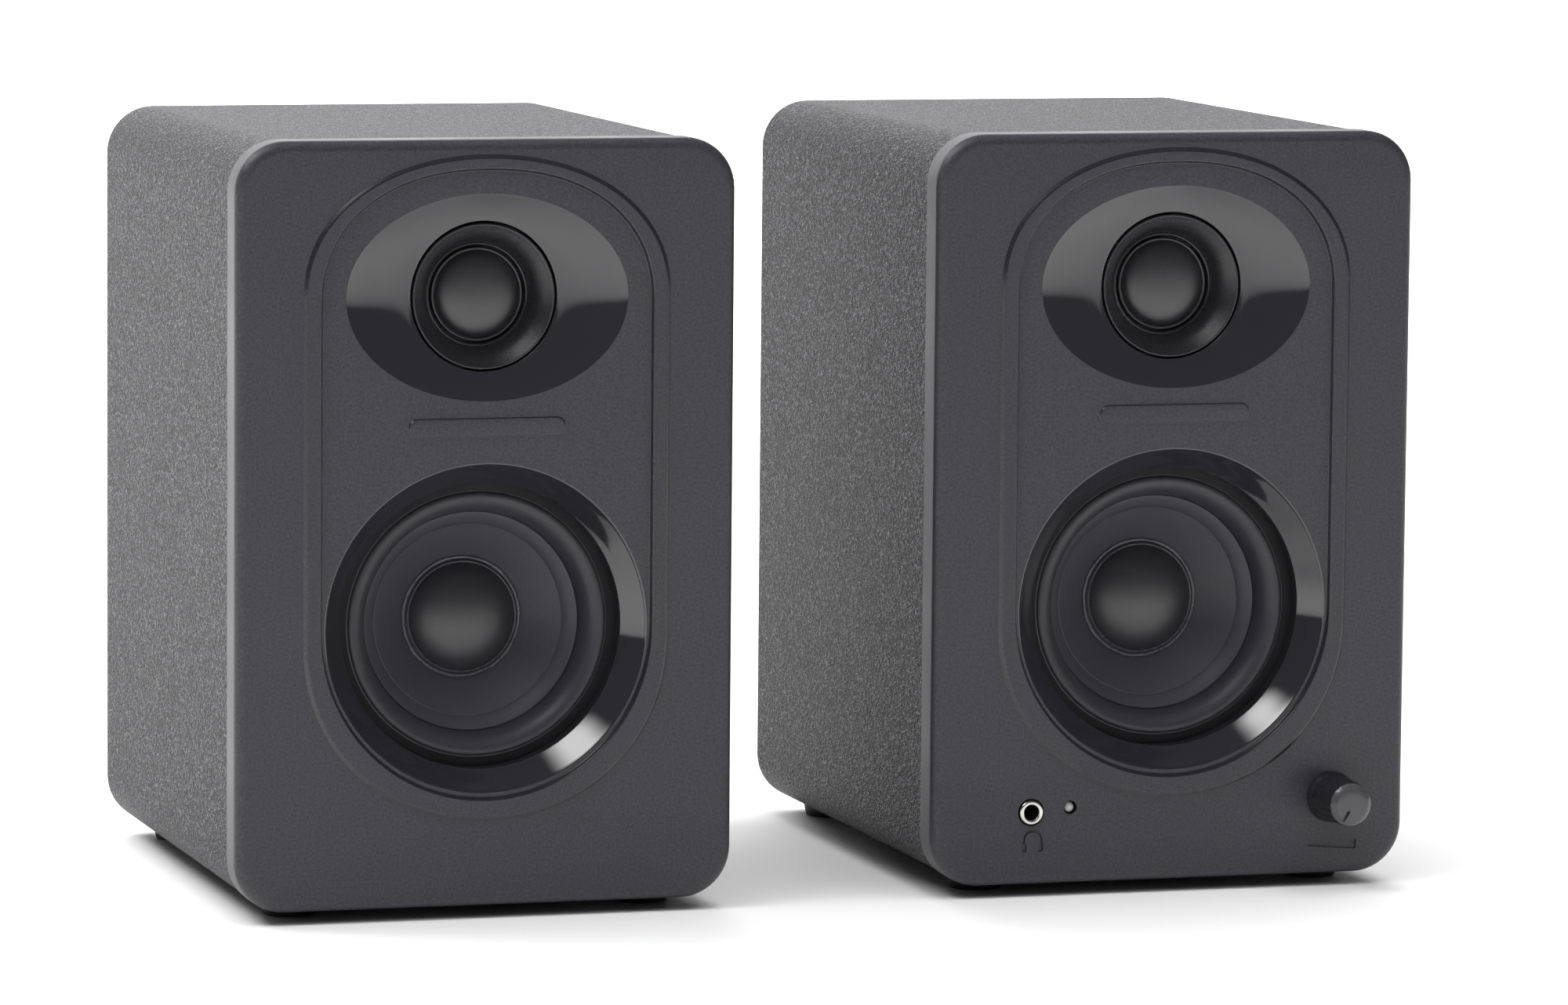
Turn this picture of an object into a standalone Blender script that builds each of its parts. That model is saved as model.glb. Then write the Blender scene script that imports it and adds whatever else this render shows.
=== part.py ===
"""A pair of two-way desktop speakers: an active one with the amplifier, and a passive one.

Both face -Y and stand on rubber feet on the plane z = 0. Each speaker is built in its own frame,
which hangs on an empty: x across from its middle, y back from the front face, z up from the lower
edge of the front moulding. The active speaker is at +X.
"""

import math

import bmesh
import bpy

MM = 0.001
GAP = 0.3 * MM

# Cabinets
WIDTH = 140 * MM
HEIGHT = 210 * MM
DEPTH = 175 * MM
CORNER = 14 * MM
SPACING = 198 * MM
FOOT_GAP = 3.5 * MM
CABINET_INSET = 0.5 * MM
WALL = 9 * MM
FOOT_RADIUS = 8 * MM
FOOT_X = 50 * MM
FOOT_FRONT = 22 * MM
FOOT_BACK = 162 * MM

# Front moulding
BAFFLE_DEPTH = 11 * MM
EDGE_ROUND = 3 * MM
PANEL_HALF_WIDTH = 48.8 * MM
PANEL_DEPTH = 0.6 * MM
PANEL_ARCH_Z = 166.7 * MM
PANEL_RISE = 37.2 * MM
WOOFER_Z = 76.5 * MM
WOOFER_MOUTH = 45.5 * MM
WOOFER_THROAT = 39.4 * MM
THROAT_DEPTH = 6.8 * MM
TWEETER_Z = 167 * MM
GUIDE_HALF_WIDTH = 40 * MM
GUIDE_HALF_HEIGHT = 28.7 * MM
GUIDE_DEPTH = 4.2 * MM
GUIDE_THROAT = 21 * MM

# Woofer: radii and depths behind the front face
SURROUND_DEPTH = 11.4 * MM
SURROUND_LAND = 43 * MM
SURROUND_OUTER = 36.4 * MM
SURROUND_INNER = 31 * MM
SURROUND_LIP = 28.8 * MM
RUBBER_SKIN = 0.8 * MM
ROLL_HEIGHT = 3.2 * MM
CONE_RADIUS = 30 * MM
CONE_EDGE = 18.3 * MM
CONE_NECK = 13.2 * MM
CONE_BASE = 32.4 * MM
PAPER = 0.9 * MM
COIL_RADIUS = 12.9 * MM
COIL_END = 46 * MM
MAGNET_RADIUS = 35 * MM

# Rear
PORT_Z = 182 * MM
PORT_BORE = 15 * MM
PORT_WALL = 2.5 * MM
PORT_LENGTH = 60 * MM
PORT_LIP = 2 * MM
PLATE_WIDTH = 110 * MM
PLATE_HEIGHT = 140 * MM
PLATE_Z = 84 * MM
PLATE_THICK = 2 * MM
TERMINAL_WIDTH = 36 * MM
TERMINAL_HEIGHT = 26 * MM
TERMINAL_DEPTH = 15 * MM
BEZEL = 1.5 * MM
LEVER_SPREAD = 8.5 * MM
LEVER_SIZE = (10 * MM, 5 * MM, 13 * MM)
LEVER_PIVOT = 2.5 * MM
PASSIVE_TERMINAL = (0, 70 * MM)
ACTIVE_TERMINAL = (15 * MM, 128 * MM)
SWITCH_PLACE = (-36 * MM, 38 * MM)
ROCKER_SIZE = (12 * MM, 6 * MM, 16 * MM)
ROCKER_TILT = math.radians(8)
INLET_PLACE = (20 * MM, 36 * MM)
JACK_X = -38 * MM
JACK_REACH = 8 * MM

# Front controls of the active speaker
KNOB_PLACE = (48 * MM, 22 * MM)
KNOB_REACH = 17.4 * MM
KNOB_BASE = 7.2 * MM
KNOB_TIP = 6.1 * MM
KNOB_FACE = 4.6 * MM
KNOB_BORE = 3.3 * MM
POINTER_AT_MINIMUM = math.radians(-150)
HEADPHONE_PLACE = (-41 * MM, 20.5 * MM)
LED_PLACE = (-29.5 * MM, 21.5 * MM)

# The furthest forward point is the knob and the furthest back is the input jacks, and the
# object's box is centred between them.
FRONT_Y = KNOB_REACH - (KNOB_REACH + DEPTH + JACK_REACH) / 2

for old in list(bpy.data.objects):
    bpy.data.objects.remove(old, do_unlink=True)

PARTS = bpy.data.collections.new("desktop_speakers")
CUTTERS = bpy.data.collections.new("cutters")
for group in (PARTS, CUTTERS):
    bpy.context.scene.collection.children.link(group)


def material(name, colour, roughness, metallic=0.0):
    made = bpy.data.materials.new(name)
    made.use_nodes = True
    shader = made.node_tree.nodes["Principled BSDF"]
    shader.inputs["Base Color"].default_value = (*colour, 1)
    shader.inputs["Roughness"].default_value = roughness
    shader.inputs["Metallic"].default_value = metallic
    made.diffuse_color = (*colour, 1)
    return made


VINYL = material("cabinet_vinyl", (0.045, 0.044, 0.047), 0.55)
MOULDING = material("front_moulding", (0.055, 0.054, 0.06), 0.45)
SATIN_BLACK = material("satin_black_plastic", (0.02, 0.02, 0.022), 0.35)
RUBBER = material("black_rubber", (0.015, 0.015, 0.015), 0.7)
CONE_PAPER = material("coated_cone", (0.035, 0.035, 0.038), 0.6)
SILK = material("coated_silk", (0.03, 0.03, 0.033), 0.5)
FRAME_STEEL = material("painted_steel", (0.03, 0.03, 0.03), 0.45, 0.6)
PLATED_STEEL = material("plated_steel", (0.55, 0.55, 0.57), 0.3, 1.0)
FERRITE = material("ferrite", (0.06, 0.06, 0.065), 0.6)
COPPER = material("copper_winding", (0.6, 0.28, 0.14), 0.35, 1.0)
SPIDER_CLOTH = material("spider_cloth", (0.55, 0.38, 0.14), 0.8)
ALUMINIUM = material("anodised_aluminium", (0.05, 0.05, 0.055), 0.4, 0.9)
BARE_ALUMINIUM = material("bare_aluminium", (0.7, 0.7, 0.72), 0.35, 1.0)
RED = material("red_plastic", (0.5, 0.02, 0.02), 0.4)
WHITE = material("white_plastic", (0.8, 0.8, 0.78), 0.4)
BLACK = material("black_plastic", (0.015, 0.015, 0.016), 0.4)
BOARD = material("circuit_board", (0.02, 0.12, 0.05), 0.45)
NICKEL = material("nickel", (0.75, 0.73, 0.7), 0.25, 1.0)
LENS = material("led_lens", (0.6, 0.62, 0.58), 0.15)
SLEEVE = material("capacitor_sleeve", (0.03, 0.06, 0.2), 0.35)


def add(name, mesh, look, parent, place, turn=(0, 0, 0)):
    """Adds the mesh as a part or, with no material, as a cutter."""
    obj = bpy.data.objects.new(name, mesh)
    obj.parent = parent
    obj.location = place
    obj.rotation_euler = turn
    if look:
        PARTS.objects.link(obj)
        mesh.materials.append(look)
    else:
        CUTTERS.objects.link(obj)
        obj.hide_render = True
        obj.display_type = "WIRE"
    return obj


def finished(bm, name):
    mesh = bpy.data.meshes.new(name)
    bm.to_mesh(mesh)
    bm.free()
    mesh.shade_smooth()
    mesh.set_sharp_from_angle(angle=math.radians(35))
    return mesh


def block(name, size, look, parent, place, corner=0, segments=5, front_round=0):
    """A block with its front face's middle at place, and its four edges along y rounded."""
    width, depth, height = size
    bm = bmesh.new()
    bmesh.ops.create_cube(bm, size=1)
    bmesh.ops.translate(bm, vec=(0, 0.5, 0), verts=bm.verts)
    bmesh.ops.scale(bm, vec=(width, depth, height), verts=bm.verts)
    if corner:
        long_edges = [e for e in bm.edges if abs(e.verts[0].co.y - e.verts[1].co.y) > depth / 2]
        bmesh.ops.bevel(bm, geom=long_edges, offset=corner, segments=segments, profile=0.5,
                        affect="EDGES")
    if front_round:
        rim = [e for e in bm.edges if e.verts[0].co.y + e.verts[1].co.y < depth / 2]
        rim = [e for e in rim if abs(e.verts[0].co.y - e.verts[1].co.y) < depth / 2]
        bmesh.ops.bevel(bm, geom=rim, offset=front_round, segments=3, profile=0.5, affect="EDGES")
    return add(name, finished(bm, name), look, parent, place)


def turned(name, profile, look, parent, centre, steps=32):
    """A turned shape about an axis along y: profile holds (radius, depth behind the front face),
    from the front down the outer side, then back along the inner side."""
    bm = bmesh.new()
    points = [bm.verts.new((radius, 0, -depth)) for radius, depth in profile]
    for start, end in zip(points, points[1:]):
        bm.edges.new((start, end))
    if profile[0][0] > 0:
        bm.edges.new((points[-1], points[0]))
    mesh = bpy.data.meshes.new(name)
    bm.to_mesh(mesh)
    bm.free()
    obj = add(name, mesh, look, parent, (centre[0], 0, centre[1]), (math.radians(90), 0, 0))
    screw = obj.modifiers.new("Turn", "SCREW")
    screw.axis = "Z"
    screw.steps = screw.render_steps = steps
    screw.use_merge_vertices = True
    screw.merge_threshold = 0.00001
    screw.use_smooth_shade = True
    return obj


def combine(obj, other, operation="DIFFERENCE"):
    boolean = obj.modifiers.new(other.name, "BOOLEAN")
    boolean.object = other
    boolean.operation = operation
    boolean.solver = "EXACT"


def cut_block(obj, tag, size, place, **rounding):
    combine(obj, block(f"{obj.name}_{tag}", size, None, obj.parent, place, **rounding))


def cut_round(obj, tag, radius, start, end, centre, steps=24):
    profile = [(0, start), (radius, start), (radius, end), (0, end)]
    combine(obj, turned(f"{obj.name}_{tag}", profile, None, obj.parent, centre, steps))


def cabinet(side, speaker):
    """The wrapped board box: four walls and a back, open where the front moulding closes it."""
    front = BAFFLE_DEPTH + GAP
    width = WIDTH - 2 * CABINET_INSET
    height = HEIGHT - 2 * CABINET_INSET
    middle = HEIGHT / 2
    size = (width, DEPTH - front, height)
    box = block(f"{side}_cabinet", size, VINYL, speaker, (0, front, middle),
                corner=CORNER - CABINET_INSET, segments=6)
    inside = (width - 2 * WALL, DEPTH - WALL - front + 1 * MM, height - 2 * WALL)
    cut_block(box, "inside", inside, (0, front - 1 * MM, middle), corner=CORNER - WALL, segments=3)
    port_hole = PORT_BORE + PORT_WALL + GAP
    cut_round(box, "port_hole", port_hole, DEPTH - 2 * WALL, DEPTH + 1 * MM, (0, PORT_Z))
    return box


def front_moulding(side, speaker):
    """The rounded front with its shallow race-track panel, tweeter bowl and woofer ring."""
    moulding = block(f"{side}_baffle", (WIDTH, BAFFLE_DEPTH, HEIGHT), MOULDING, speaker,
                     (0, 0, HEIGHT / 2), corner=CORNER, segments=6, front_round=EDGE_ROUND)
    combine(moulding, panel_cutter(side, speaker))
    ring = [(0, 0), (WOOFER_MOUTH + 0.7 * MM, 0), (WOOFER_THROAT, THROAT_DEPTH),
            (WOOFER_THROAT, 12 * MM), (0, 12 * MM)]
    combine(moulding, turned(f"{side}_woofer_cutter", ring, None, speaker, (0, WOOFER_Z), 40))
    combine(moulding, guide_cutter(side, speaker))
    cut_round(moulding, "tweeter_hole", GUIDE_THROAT, 3 * MM, 12 * MM, (0, TWEETER_Z), 32)
    return moulding


def panel_cutter(side, speaker):
    """The race track: half an ellipse at the top, straight sides, and half a circle round the
    woofer."""
    bm = bmesh.new()
    outline = []
    steps = 18
    for sign, middle, rise in ((1, PANEL_ARCH_Z, PANEL_RISE), (-1, WOOFER_Z, PANEL_HALF_WIDTH)):
        for step in range(steps + 1):
            angle = math.pi * step / steps
            outline.append(bm.verts.new((sign * PANEL_HALF_WIDTH * math.cos(angle), -1 * MM,
                                         middle + sign * rise * math.sin(angle))))
    sheet = bm.faces.new(outline)
    pulled = bmesh.ops.extrude_face_region(bm, geom=[sheet])["geom"]
    bmesh.ops.translate(bm, vec=(0, 1 * MM + PANEL_DEPTH, 0),
                        verts=[v for v in pulled if isinstance(v, bmesh.types.BMVert)])
    bmesh.ops.recalc_face_normals(bm, faces=bm.faces)
    name = f"{side}_panel_cutter"
    return add(name, finished(bm, name), None, speaker, (0, 0, 0))


def guide_cutter(side, speaker):
    """The tweeter's bowl: an ellipse at the front that narrows to a circle."""
    bm = bmesh.new()
    bmesh.ops.create_cone(bm, cap_ends=True, segments=32, radius1=GUIDE_THROAT,
                          radius2=GUIDE_THROAT, depth=GUIDE_DEPTH)
    mouth = [v for v in bm.verts if v.co.z > 0]
    bmesh.ops.scale(bm, vec=(GUIDE_HALF_WIDTH / GUIDE_THROAT, GUIDE_HALF_HEIGHT / GUIDE_THROAT, 1),
                    verts=mouth)
    name = f"{side}_guide_cutter"
    place = (0, GUIDE_DEPTH / 2 + PANEL_DEPTH - 0.2 * MM, TWEETER_Z)
    return add(name, finished(bm, name), None, speaker, place, (math.radians(90), 0, 0))


def tweeter(side, speaker):
    centre = (0, TWEETER_Z)
    back = BAFFLE_DEPTH + GAP
    face = [(19.8, 5.2), (19.8, back / MM), (30, back / MM), (30, 13.3), (20, 13.3), (16.5, 14.7),
            (13.4, 14.7), (13.4, 13.8), (14.3, 13), (19.2, 5.2)]
    turned(f"{side}_tweeter_faceplate", scaled(face), SATIN_BLACK, speaker, centre, 26)
    dome = [(0, 9.4), (4.5, 9.8), (8.5, 11.2), (11, 13.2), (12.6, 13.8), (12.6, 14.3), (10, 14.3),
            (10, 18.2), (9.4, 18.2), (9.4, 14), (8, 11.9), (4.3, 10.5), (0, 10.1)]
    turned(f"{side}_tweeter_dome", scaled(dome), SILK, speaker, centre, 20)
    motor = [(0, 15.2), (8.7, 15.2), (8.7, 22.3), (10.7, 22.3), (10.7, 15), (19, 15), (19, 32.3),
             (0, 32.3)]
    turned(f"{side}_tweeter_motor", scaled(motor), FRAME_STEEL, speaker, centre, 24)


def scaled(profile):
    return [(radius * MM, depth * MM) for radius, depth in profile]


def woofer(side, speaker):
    """The 3 inch driver, from its frame to its magnet."""
    centre = (0, WOOFER_Z)
    basket_profile = [(50, 12.5), (50, 14.3), (41.5, 14.3), (30.5, 35), (30.5, 38), (19, 38),
                      (19, 36.2), (29, 36.2), (29, 35), (39.3, 15.5), (38.5, 12.5)]
    basket = turned(f"{side}_woofer_basket", scaled(basket_profile), FRAME_STEEL, speaker, centre,
                    28)
    for tag, size in (("sides", (120, 12, 26)), ("ends", (26, 12, 120))):
        window = tuple(side_length * MM for side_length in size)
        cut_block(basket, tag, window, (0, 20 * MM, WOOFER_Z))
    roll = half_roll(SURROUND_OUTER, SURROUND_INNER, 4)
    surround = [(SURROUND_LAND, SURROUND_DEPTH), (SURROUND_LAND, SURROUND_DEPTH + RUBBER_SKIN),
                *reversed([(radius, depth + RUBBER_SKIN) for radius, depth in roll]),
                (SURROUND_LIP, CONE_EDGE - GAP), (SURROUND_LIP, CONE_EDGE - GAP - RUBBER_SKIN),
                *roll]
    turned(f"{side}_woofer_surround", surround, RUBBER, speaker, centre, 28)
    cone = [(CONE_RADIUS, CONE_EDGE), (CONE_RADIUS, CONE_EDGE + PAPER),
            (CONE_NECK, CONE_BASE + PAPER), (CONE_NECK, CONE_BASE)]
    turned(f"{side}_woofer_cone", cone, CONE_PAPER, speaker, centre, 32)
    cap = [(0, 22.2), (6, 22.8), (11.5, 25), (16, 28.6), (15.2, 28.7), (11, 25.8), (5.7, 23.6),
           (0, 23)]
    turned(f"{side}_dust_cap", scaled(cap), CONE_PAPER, speaker, centre, 24)
    wound = [(COIL_RADIUS, 30.6 * MM), (COIL_RADIUS, COIL_END), (COIL_RADIUS - 0.7 * MM, COIL_END),
             (COIL_RADIUS - 0.7 * MM, 30.6 * MM)]
    turned(f"{side}_voice_coil", wound, COPPER, speaker, centre, 24)
    spider = [(28.5, 35.2), (28.5, 35.8), (24, 35.8), (20, 34.8), (16, 35.6), (13.3, 35),
              (13.3, 34.4), (16, 35), (20, 34.2), (24, 35.2)]
    turned(f"{side}_spider", scaled(spider), SPIDER_CLOTH, speaker, centre, 20)
    top = [(28, 38.3), (28, 42.3), (13.7, 42.3), (13.7, 38.3)]
    turned(f"{side}_top_plate", scaled(top), PLATED_STEEL, speaker, centre, 24)
    ferrite = [(MAGNET_RADIUS, 42.6 * MM), (MAGNET_RADIUS, 54.6 * MM), (17 * MM, 54.6 * MM),
               (17 * MM, 42.6 * MM)]
    turned(f"{side}_magnet", ferrite, FERRITE, speaker, centre, 24)
    yoke = [(0, 38.3), (11.4, 38.3), (11.4, 54.9), (28, 54.9), (28, 60), (0, 60)]
    turned(f"{side}_yoke", scaled(yoke), PLATED_STEEL, speaker, centre, 24)


def half_roll(outer, inner, segments):
    """Points of the surround's arch, from its inner foot at the cone to its outer foot."""
    middle = (outer + inner) / 2
    half = (outer - inner) / 2
    drop = CONE_EDGE - GAP - RUBBER_SKIN - SURROUND_DEPTH
    points = []
    for step in range(segments + 1):
        inwards = 1 - step / segments
        angle = math.pi * inwards
        points.append((middle + half * math.cos(angle),
                       SURROUND_DEPTH + drop * inwards - ROLL_HEIGHT * math.sin(angle)))
    return points


def port(side, speaker):
    outer = PORT_BORE + PORT_WALL
    rear = DEPTH + GAP
    profile = [(outer, DEPTH - PORT_LENGTH), (outer, rear), (outer + 5 * MM, rear),
               (outer + 5 * MM, rear + PORT_LIP), (PORT_BORE + 4 * MM, rear + PORT_LIP),
               (PORT_BORE, DEPTH - 7 * MM), (PORT_BORE, DEPTH - PORT_LENGTH)]
    turned(f"{side}_port_tube", profile, BLACK, speaker, (0, PORT_Z), 16)


def feet(side, speaker):
    """Rubber feet under the corners, between the floor and the cabinet."""
    height = FOOT_GAP + CABINET_INSET - GAP
    for place, x in (("left", -FOOT_X), ("right", FOOT_X)):
        for row, y in (("front", FOOT_FRONT), ("rear", FOOT_BACK)):
            bm = bmesh.new()
            bmesh.ops.create_cone(bm, cap_ends=True, segments=16, radius1=FOOT_RADIUS - 0.7 * MM,
                                  radius2=FOOT_RADIUS, depth=height)
            name = f"{side}_foot_{row}_{place}"
            add(name, finished(bm, name), RUBBER, speaker, (x, y, height / 2 - FOOT_GAP))


def speaker_terminals(side, speaker, centre):
    """The spring-clip block at the back, with a red and a black lever on pivots of their own."""
    x, z = centre
    rear = DEPTH + GAP
    body = block(f"{side}_terminal_block", (TERMINAL_WIDTH, TERMINAL_DEPTH, TERMINAL_HEIGHT),
                 BLACK, speaker, (x, rear + BEZEL - TERMINAL_DEPTH, z))
    frame = (TERMINAL_WIDTH + 6 * MM, BEZEL, TERMINAL_HEIGHT + 6 * MM)
    bezel = block(f"{side}_terminal_bezel", frame, None, speaker, (x, rear, z))
    combine(body, bezel, "UNION")
    lever_width, lever_depth, lever_height = LEVER_SIZE
    pivot_z = z + TERMINAL_HEIGHT / 2 - 1.5 * MM - 1.3 * MM - LEVER_PIVOT
    lever_y = rear + BEZEL - 3 * MM
    for colour, look, offset in (("red", RED, -LEVER_SPREAD), ("black", BLACK, LEVER_SPREAD)):
        pocket = (lever_width + 1 * MM, 11 * MM, lever_height + 2.4 * MM)
        pocket_z = pivot_z + LEVER_PIVOT - lever_height / 2 - 0.1 * MM
        cut_block(body, f"{colour}_pocket", pocket, (x + offset, lever_y - 6 * MM, pocket_z))
        cut_round(body, f"{colour}_wire_hole", 1.6 * MM, rear - 8 * MM, rear + 3 * MM,
                  (x + offset, z - TERMINAL_HEIGHT / 2 + 3.2 * MM), 12)
        lever = block(f"{side}_lever_{colour}", LEVER_SIZE, look, speaker,
                      (x + offset, lever_y + lever_depth / 2, pivot_z))
        for vertex in lever.data.vertices:
            vertex.co.y -= lever_depth / 2
            vertex.co.z += LEVER_PIVOT - lever_height / 2
    return body


def terminal_opening(obj, centre, start, end):
    size = (TERMINAL_WIDTH + 2 * GAP, end - start, TERMINAL_HEIGHT + 2 * GAP)
    cut_block(obj, "terminal_opening", size, (centre[0], start, centre[1]))


def passive_speaker(speaker):
    box = cabinet("passive", speaker)
    front_moulding("passive", speaker)
    terminal_opening(box, PASSIVE_TERMINAL, DEPTH - 2 * WALL, DEPTH + 1 * MM)
    speaker_terminals("passive", speaker, PASSIVE_TERMINAL)
    sleeve = [(0, 132), (6, 132), (6, 160), (0, 160)]
    turned("passive_crossover_capacitor", scaled(sleeve), SLEEVE, speaker, PASSIVE_TERMINAL, 16)


def rear_panel(speaker, box):
    """The amplifier's rear plate, flush in the cabinet's back, with what it carries outside."""
    seat = DEPTH - PLATE_THICK - 2 * GAP
    rebate = (PLATE_WIDTH + 2 * GAP, PLATE_THICK + 2 * MM, PLATE_HEIGHT + 2 * GAP)
    cut_block(box, "plate_rebate", rebate, (0, seat, PLATE_Z))
    opening = (PLATE_WIDTH - 14 * MM, 3 * WALL, PLATE_HEIGHT - 14 * MM)
    cut_block(box, "plate_opening", opening, (0, DEPTH - 2 * WALL, PLATE_Z))
    plate = block("active_amp_plate", (PLATE_WIDTH, PLATE_THICK, PLATE_HEIGHT), ALUMINIUM, speaker,
                  (0, seat + GAP, PLATE_Z))
    through = (seat - 1 * MM, DEPTH + 1 * MM)
    terminal_opening(plate, ACTIVE_TERMINAL, *through)
    speaker_terminals("active", speaker, ACTIVE_TERMINAL)
    for colour, look, z in (("red", RED, 80 * MM), ("white", WHITE, 100 * MM)):
        input_jack(f"active_input_jack_{colour}", look, speaker, (JACK_X, z))
        cut_round(plate, f"{colour}_jack_hole", 5 * MM + GAP, *through, (JACK_X, z))
    power_switch(speaker, plate, through)
    mains_inlet(speaker, plate, through)


def input_jack(name, look, speaker, centre):
    rear = (DEPTH + GAP) / MM
    tip = (DEPTH + JACK_REACH) / MM
    profile = [(0, 160), (5, 160), (5, rear), (6.5, rear), (6.5, rear + 1.5), (4.2, rear + 1.5),
               (4.2, tip), (1.7, tip), (1.7, 173), (0, 173)]
    turned(name, scaled(profile), look, speaker, centre, 20)


def power_switch(speaker, plate, through):
    """A rocker in a square body: it rests with its upper end out, which is off."""
    x, z = SWITCH_PLACE
    width, depth, height = ROCKER_SIZE
    rear = DEPTH + GAP
    outer = (width + 4 * MM, 18 * MM, height + 5 * MM)
    body = block("active_switch_body", outer, BLACK, speaker, (x, rear + BEZEL - 18 * MM, z))
    frame = (outer[0] + 3 * MM, BEZEL, outer[2] + 3 * MM)
    combine(body, block("active_switch_bezel", frame, None, speaker, (x, rear, z)), "UNION")
    pocket = (width + 1 * MM, 11 * MM, height + 2.4 * MM)
    cut_block(body, "rocker_pocket", pocket, (x, rear - 8 * MM, z))
    hole = (outer[0] + 2 * GAP, through[1] - through[0], outer[2] + 2 * GAP)
    cut_block(plate, "switch_hole", hole, (x, through[0], z))
    rocker = block("active_power_rocker", ROCKER_SIZE, BLACK, speaker, (x, rear + 0.7 * MM, z))
    for vertex in rocker.data.vertices:
        vertex.co.y -= depth / 2
    rocker.rotation_euler.x = -ROCKER_TILT


def mains_inlet(speaker, plate, through):
    """A two-pin inlet: an oval socket with its pins standing on the floor."""
    x, z = INLET_PLACE
    rear = DEPTH + GAP
    outer = (26 * MM, 18 * MM, 18 * MM)
    body = block("active_mains_inlet", outer, BLACK, speaker, (x, rear + BEZEL - 18 * MM, z))
    frame = (30 * MM, BEZEL, 22 * MM)
    combine(body, block("active_inlet_bezel", frame, None, speaker, (x, rear, z)), "UNION")
    cut_block(body, "socket", (17 * MM, 14 * MM, 10 * MM), (x, rear - 11 * MM, z),
              corner=4.9 * MM, segments=4)
    for tag, offset in (("left", -4.3 * MM), ("right", 4.3 * MM)):
        pin = [(0, rear - 12 * MM), (1.2 * MM, rear - 12 * MM), (1.2 * MM, rear - 2 * MM),
               (0, rear - 2 * MM)]
        rod = turned(f"active_inlet_pin_{tag}", pin, None, speaker, (x + offset, z), 10)
        combine(body, rod, "UNION")
    hole = (outer[0] + 2 * GAP, through[1] - through[0], outer[2] + 2 * GAP)
    cut_block(plate, "inlet_hole", hole, (x, through[0], z))


def amplifier(speaker):
    """What the rear plate carries inside: its board, heat sink and mains transformer."""
    block("active_transformer", (52 * MM, 40 * MM, 44 * MM), FRAME_STEEL, speaker,
          (20 * MM, 106 * MM, 32 * MM), corner=2 * MM, segments=1)
    block("active_amp_board", (96 * MM, 1.6 * MM, 86 * MM), BOARD, speaker,
          (0, 140 * MM, 105 * MM))
    sink = block("active_heatsink", (58 * MM, 20 * MM, 40 * MM), BARE_ALUMINIUM, speaker,
                 (12 * MM, 152 * MM, 86 * MM))
    slots = 6
    pitch = 58 * MM / slots
    for slot in range(slots):
        x = 12 * MM + (slot - (slots - 1) / 2) * pitch
        cut_block(sink, f"slot_{slot}", (pitch - 2.5 * MM, 16 * MM, 44 * MM),
                  (x, 151 * MM, 86 * MM))


def front_controls(speaker, moulding):
    """The headphone jack, power light and volume control in the lower front."""
    through = (-1 * MM, BAFFLE_DEPTH + 1 * MM)
    cut_round(moulding, "jack_hole", 3.7 * MM, *through, HEADPHONE_PLACE, 16)
    cut_round(moulding, "led_hole", 1.9 * MM, *through, LED_PLACE, 12)
    cut_round(moulding, "shaft_hole", 3.8 * MM, *through, KNOB_PLACE, 16)
    jack = [(3.4, -0.5), (3.4, 11.5), (5.5, 11.5), (5.5, 21), (1.8, 21), (1.8, -0.5)]
    turned("active_headphone_jack", scaled(jack), NICKEL, speaker, HEADPHONE_PLACE, 16)
    lens = [(0, 0.9), (1, 1.1), (1.6, 1.9), (1.6, 11.5), (2.6, 11.5), (2.6, 12.7), (0, 12.7)]
    turned("active_power_led", scaled(lens), LENS, speaker, LED_PLACE, 12)
    x, z = KNOB_PLACE
    pot = block("active_volume_pot", (16 * MM, 8 * MM, 16 * MM), PLATED_STEEL, speaker,
                (x, 11.6 * MM, z))
    cut_round(pot, "shaft_bore", KNOB_BORE, 10 * MM, 17 * MM, KNOB_PLACE, 16)
    shaft = [(0, -10.6), (3, -10.6), (3, 16.7), (0, 16.7)]
    turned("active_pot_shaft", scaled(shaft), NICKEL, speaker, KNOB_PLACE, 16)
    knob_profile = [(0, -KNOB_REACH), (KNOB_FACE, -KNOB_REACH), (KNOB_TIP, -KNOB_REACH + 1.3 * MM),
                    (KNOB_BASE, -0.4 * MM), (KNOB_BORE, -0.4 * MM), (KNOB_BORE, -11 * MM),
                    (0, -11 * MM)]
    knob = turned("active_volume_knob", knob_profile, SATIN_BLACK, speaker, KNOB_PLACE, 24)
    reach = 0.62 * KNOB_TIP
    notch = block("active_volume_knob_pointer", (1 * MM, 2 * MM, KNOB_TIP), None, speaker,
                  (x + reach * math.sin(POINTER_AT_MINIMUM), -KNOB_REACH - 1.4 * MM,
                   z + reach * math.cos(POINTER_AT_MINIMUM)))
    notch.rotation_euler.y = POINTER_AT_MINIMUM
    combine(knob, notch)
    block("active_control_board", (112 * MM, 1.6 * MM, 18 * MM), BOARD, speaker,
          (3 * MM, 21.4 * MM, 21 * MM))


def active_speaker(speaker):
    box = cabinet("active", speaker)
    moulding = front_moulding("active", speaker)
    rear_panel(speaker, box)
    amplifier(speaker)
    front_controls(speaker, moulding)


def main():
    for side, middle in (("passive", -SPACING / 2), ("active", SPACING / 2)):
        speaker = bpy.data.objects.new(f"{side}_speaker", None)
        PARTS.objects.link(speaker)
        speaker.location = (middle, FRONT_Y, FOOT_GAP)
        for build in (tweeter, woofer, port, feet):
            build(side, speaker)
        if side == "passive":
            passive_speaker(speaker)
        else:
            active_speaker(speaker)


main()
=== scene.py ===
"""The looks of a pair of desktop speakers: a passive one at -X and an active one at +X.

Each speaker's pieces are made in its own frame, in millimetres: x across from its middle, y back
from the front face, z up from the lower edge of the front moulding.
"""

import math

import bmesh
import bpy
from mathutils import Matrix, Vector


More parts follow.
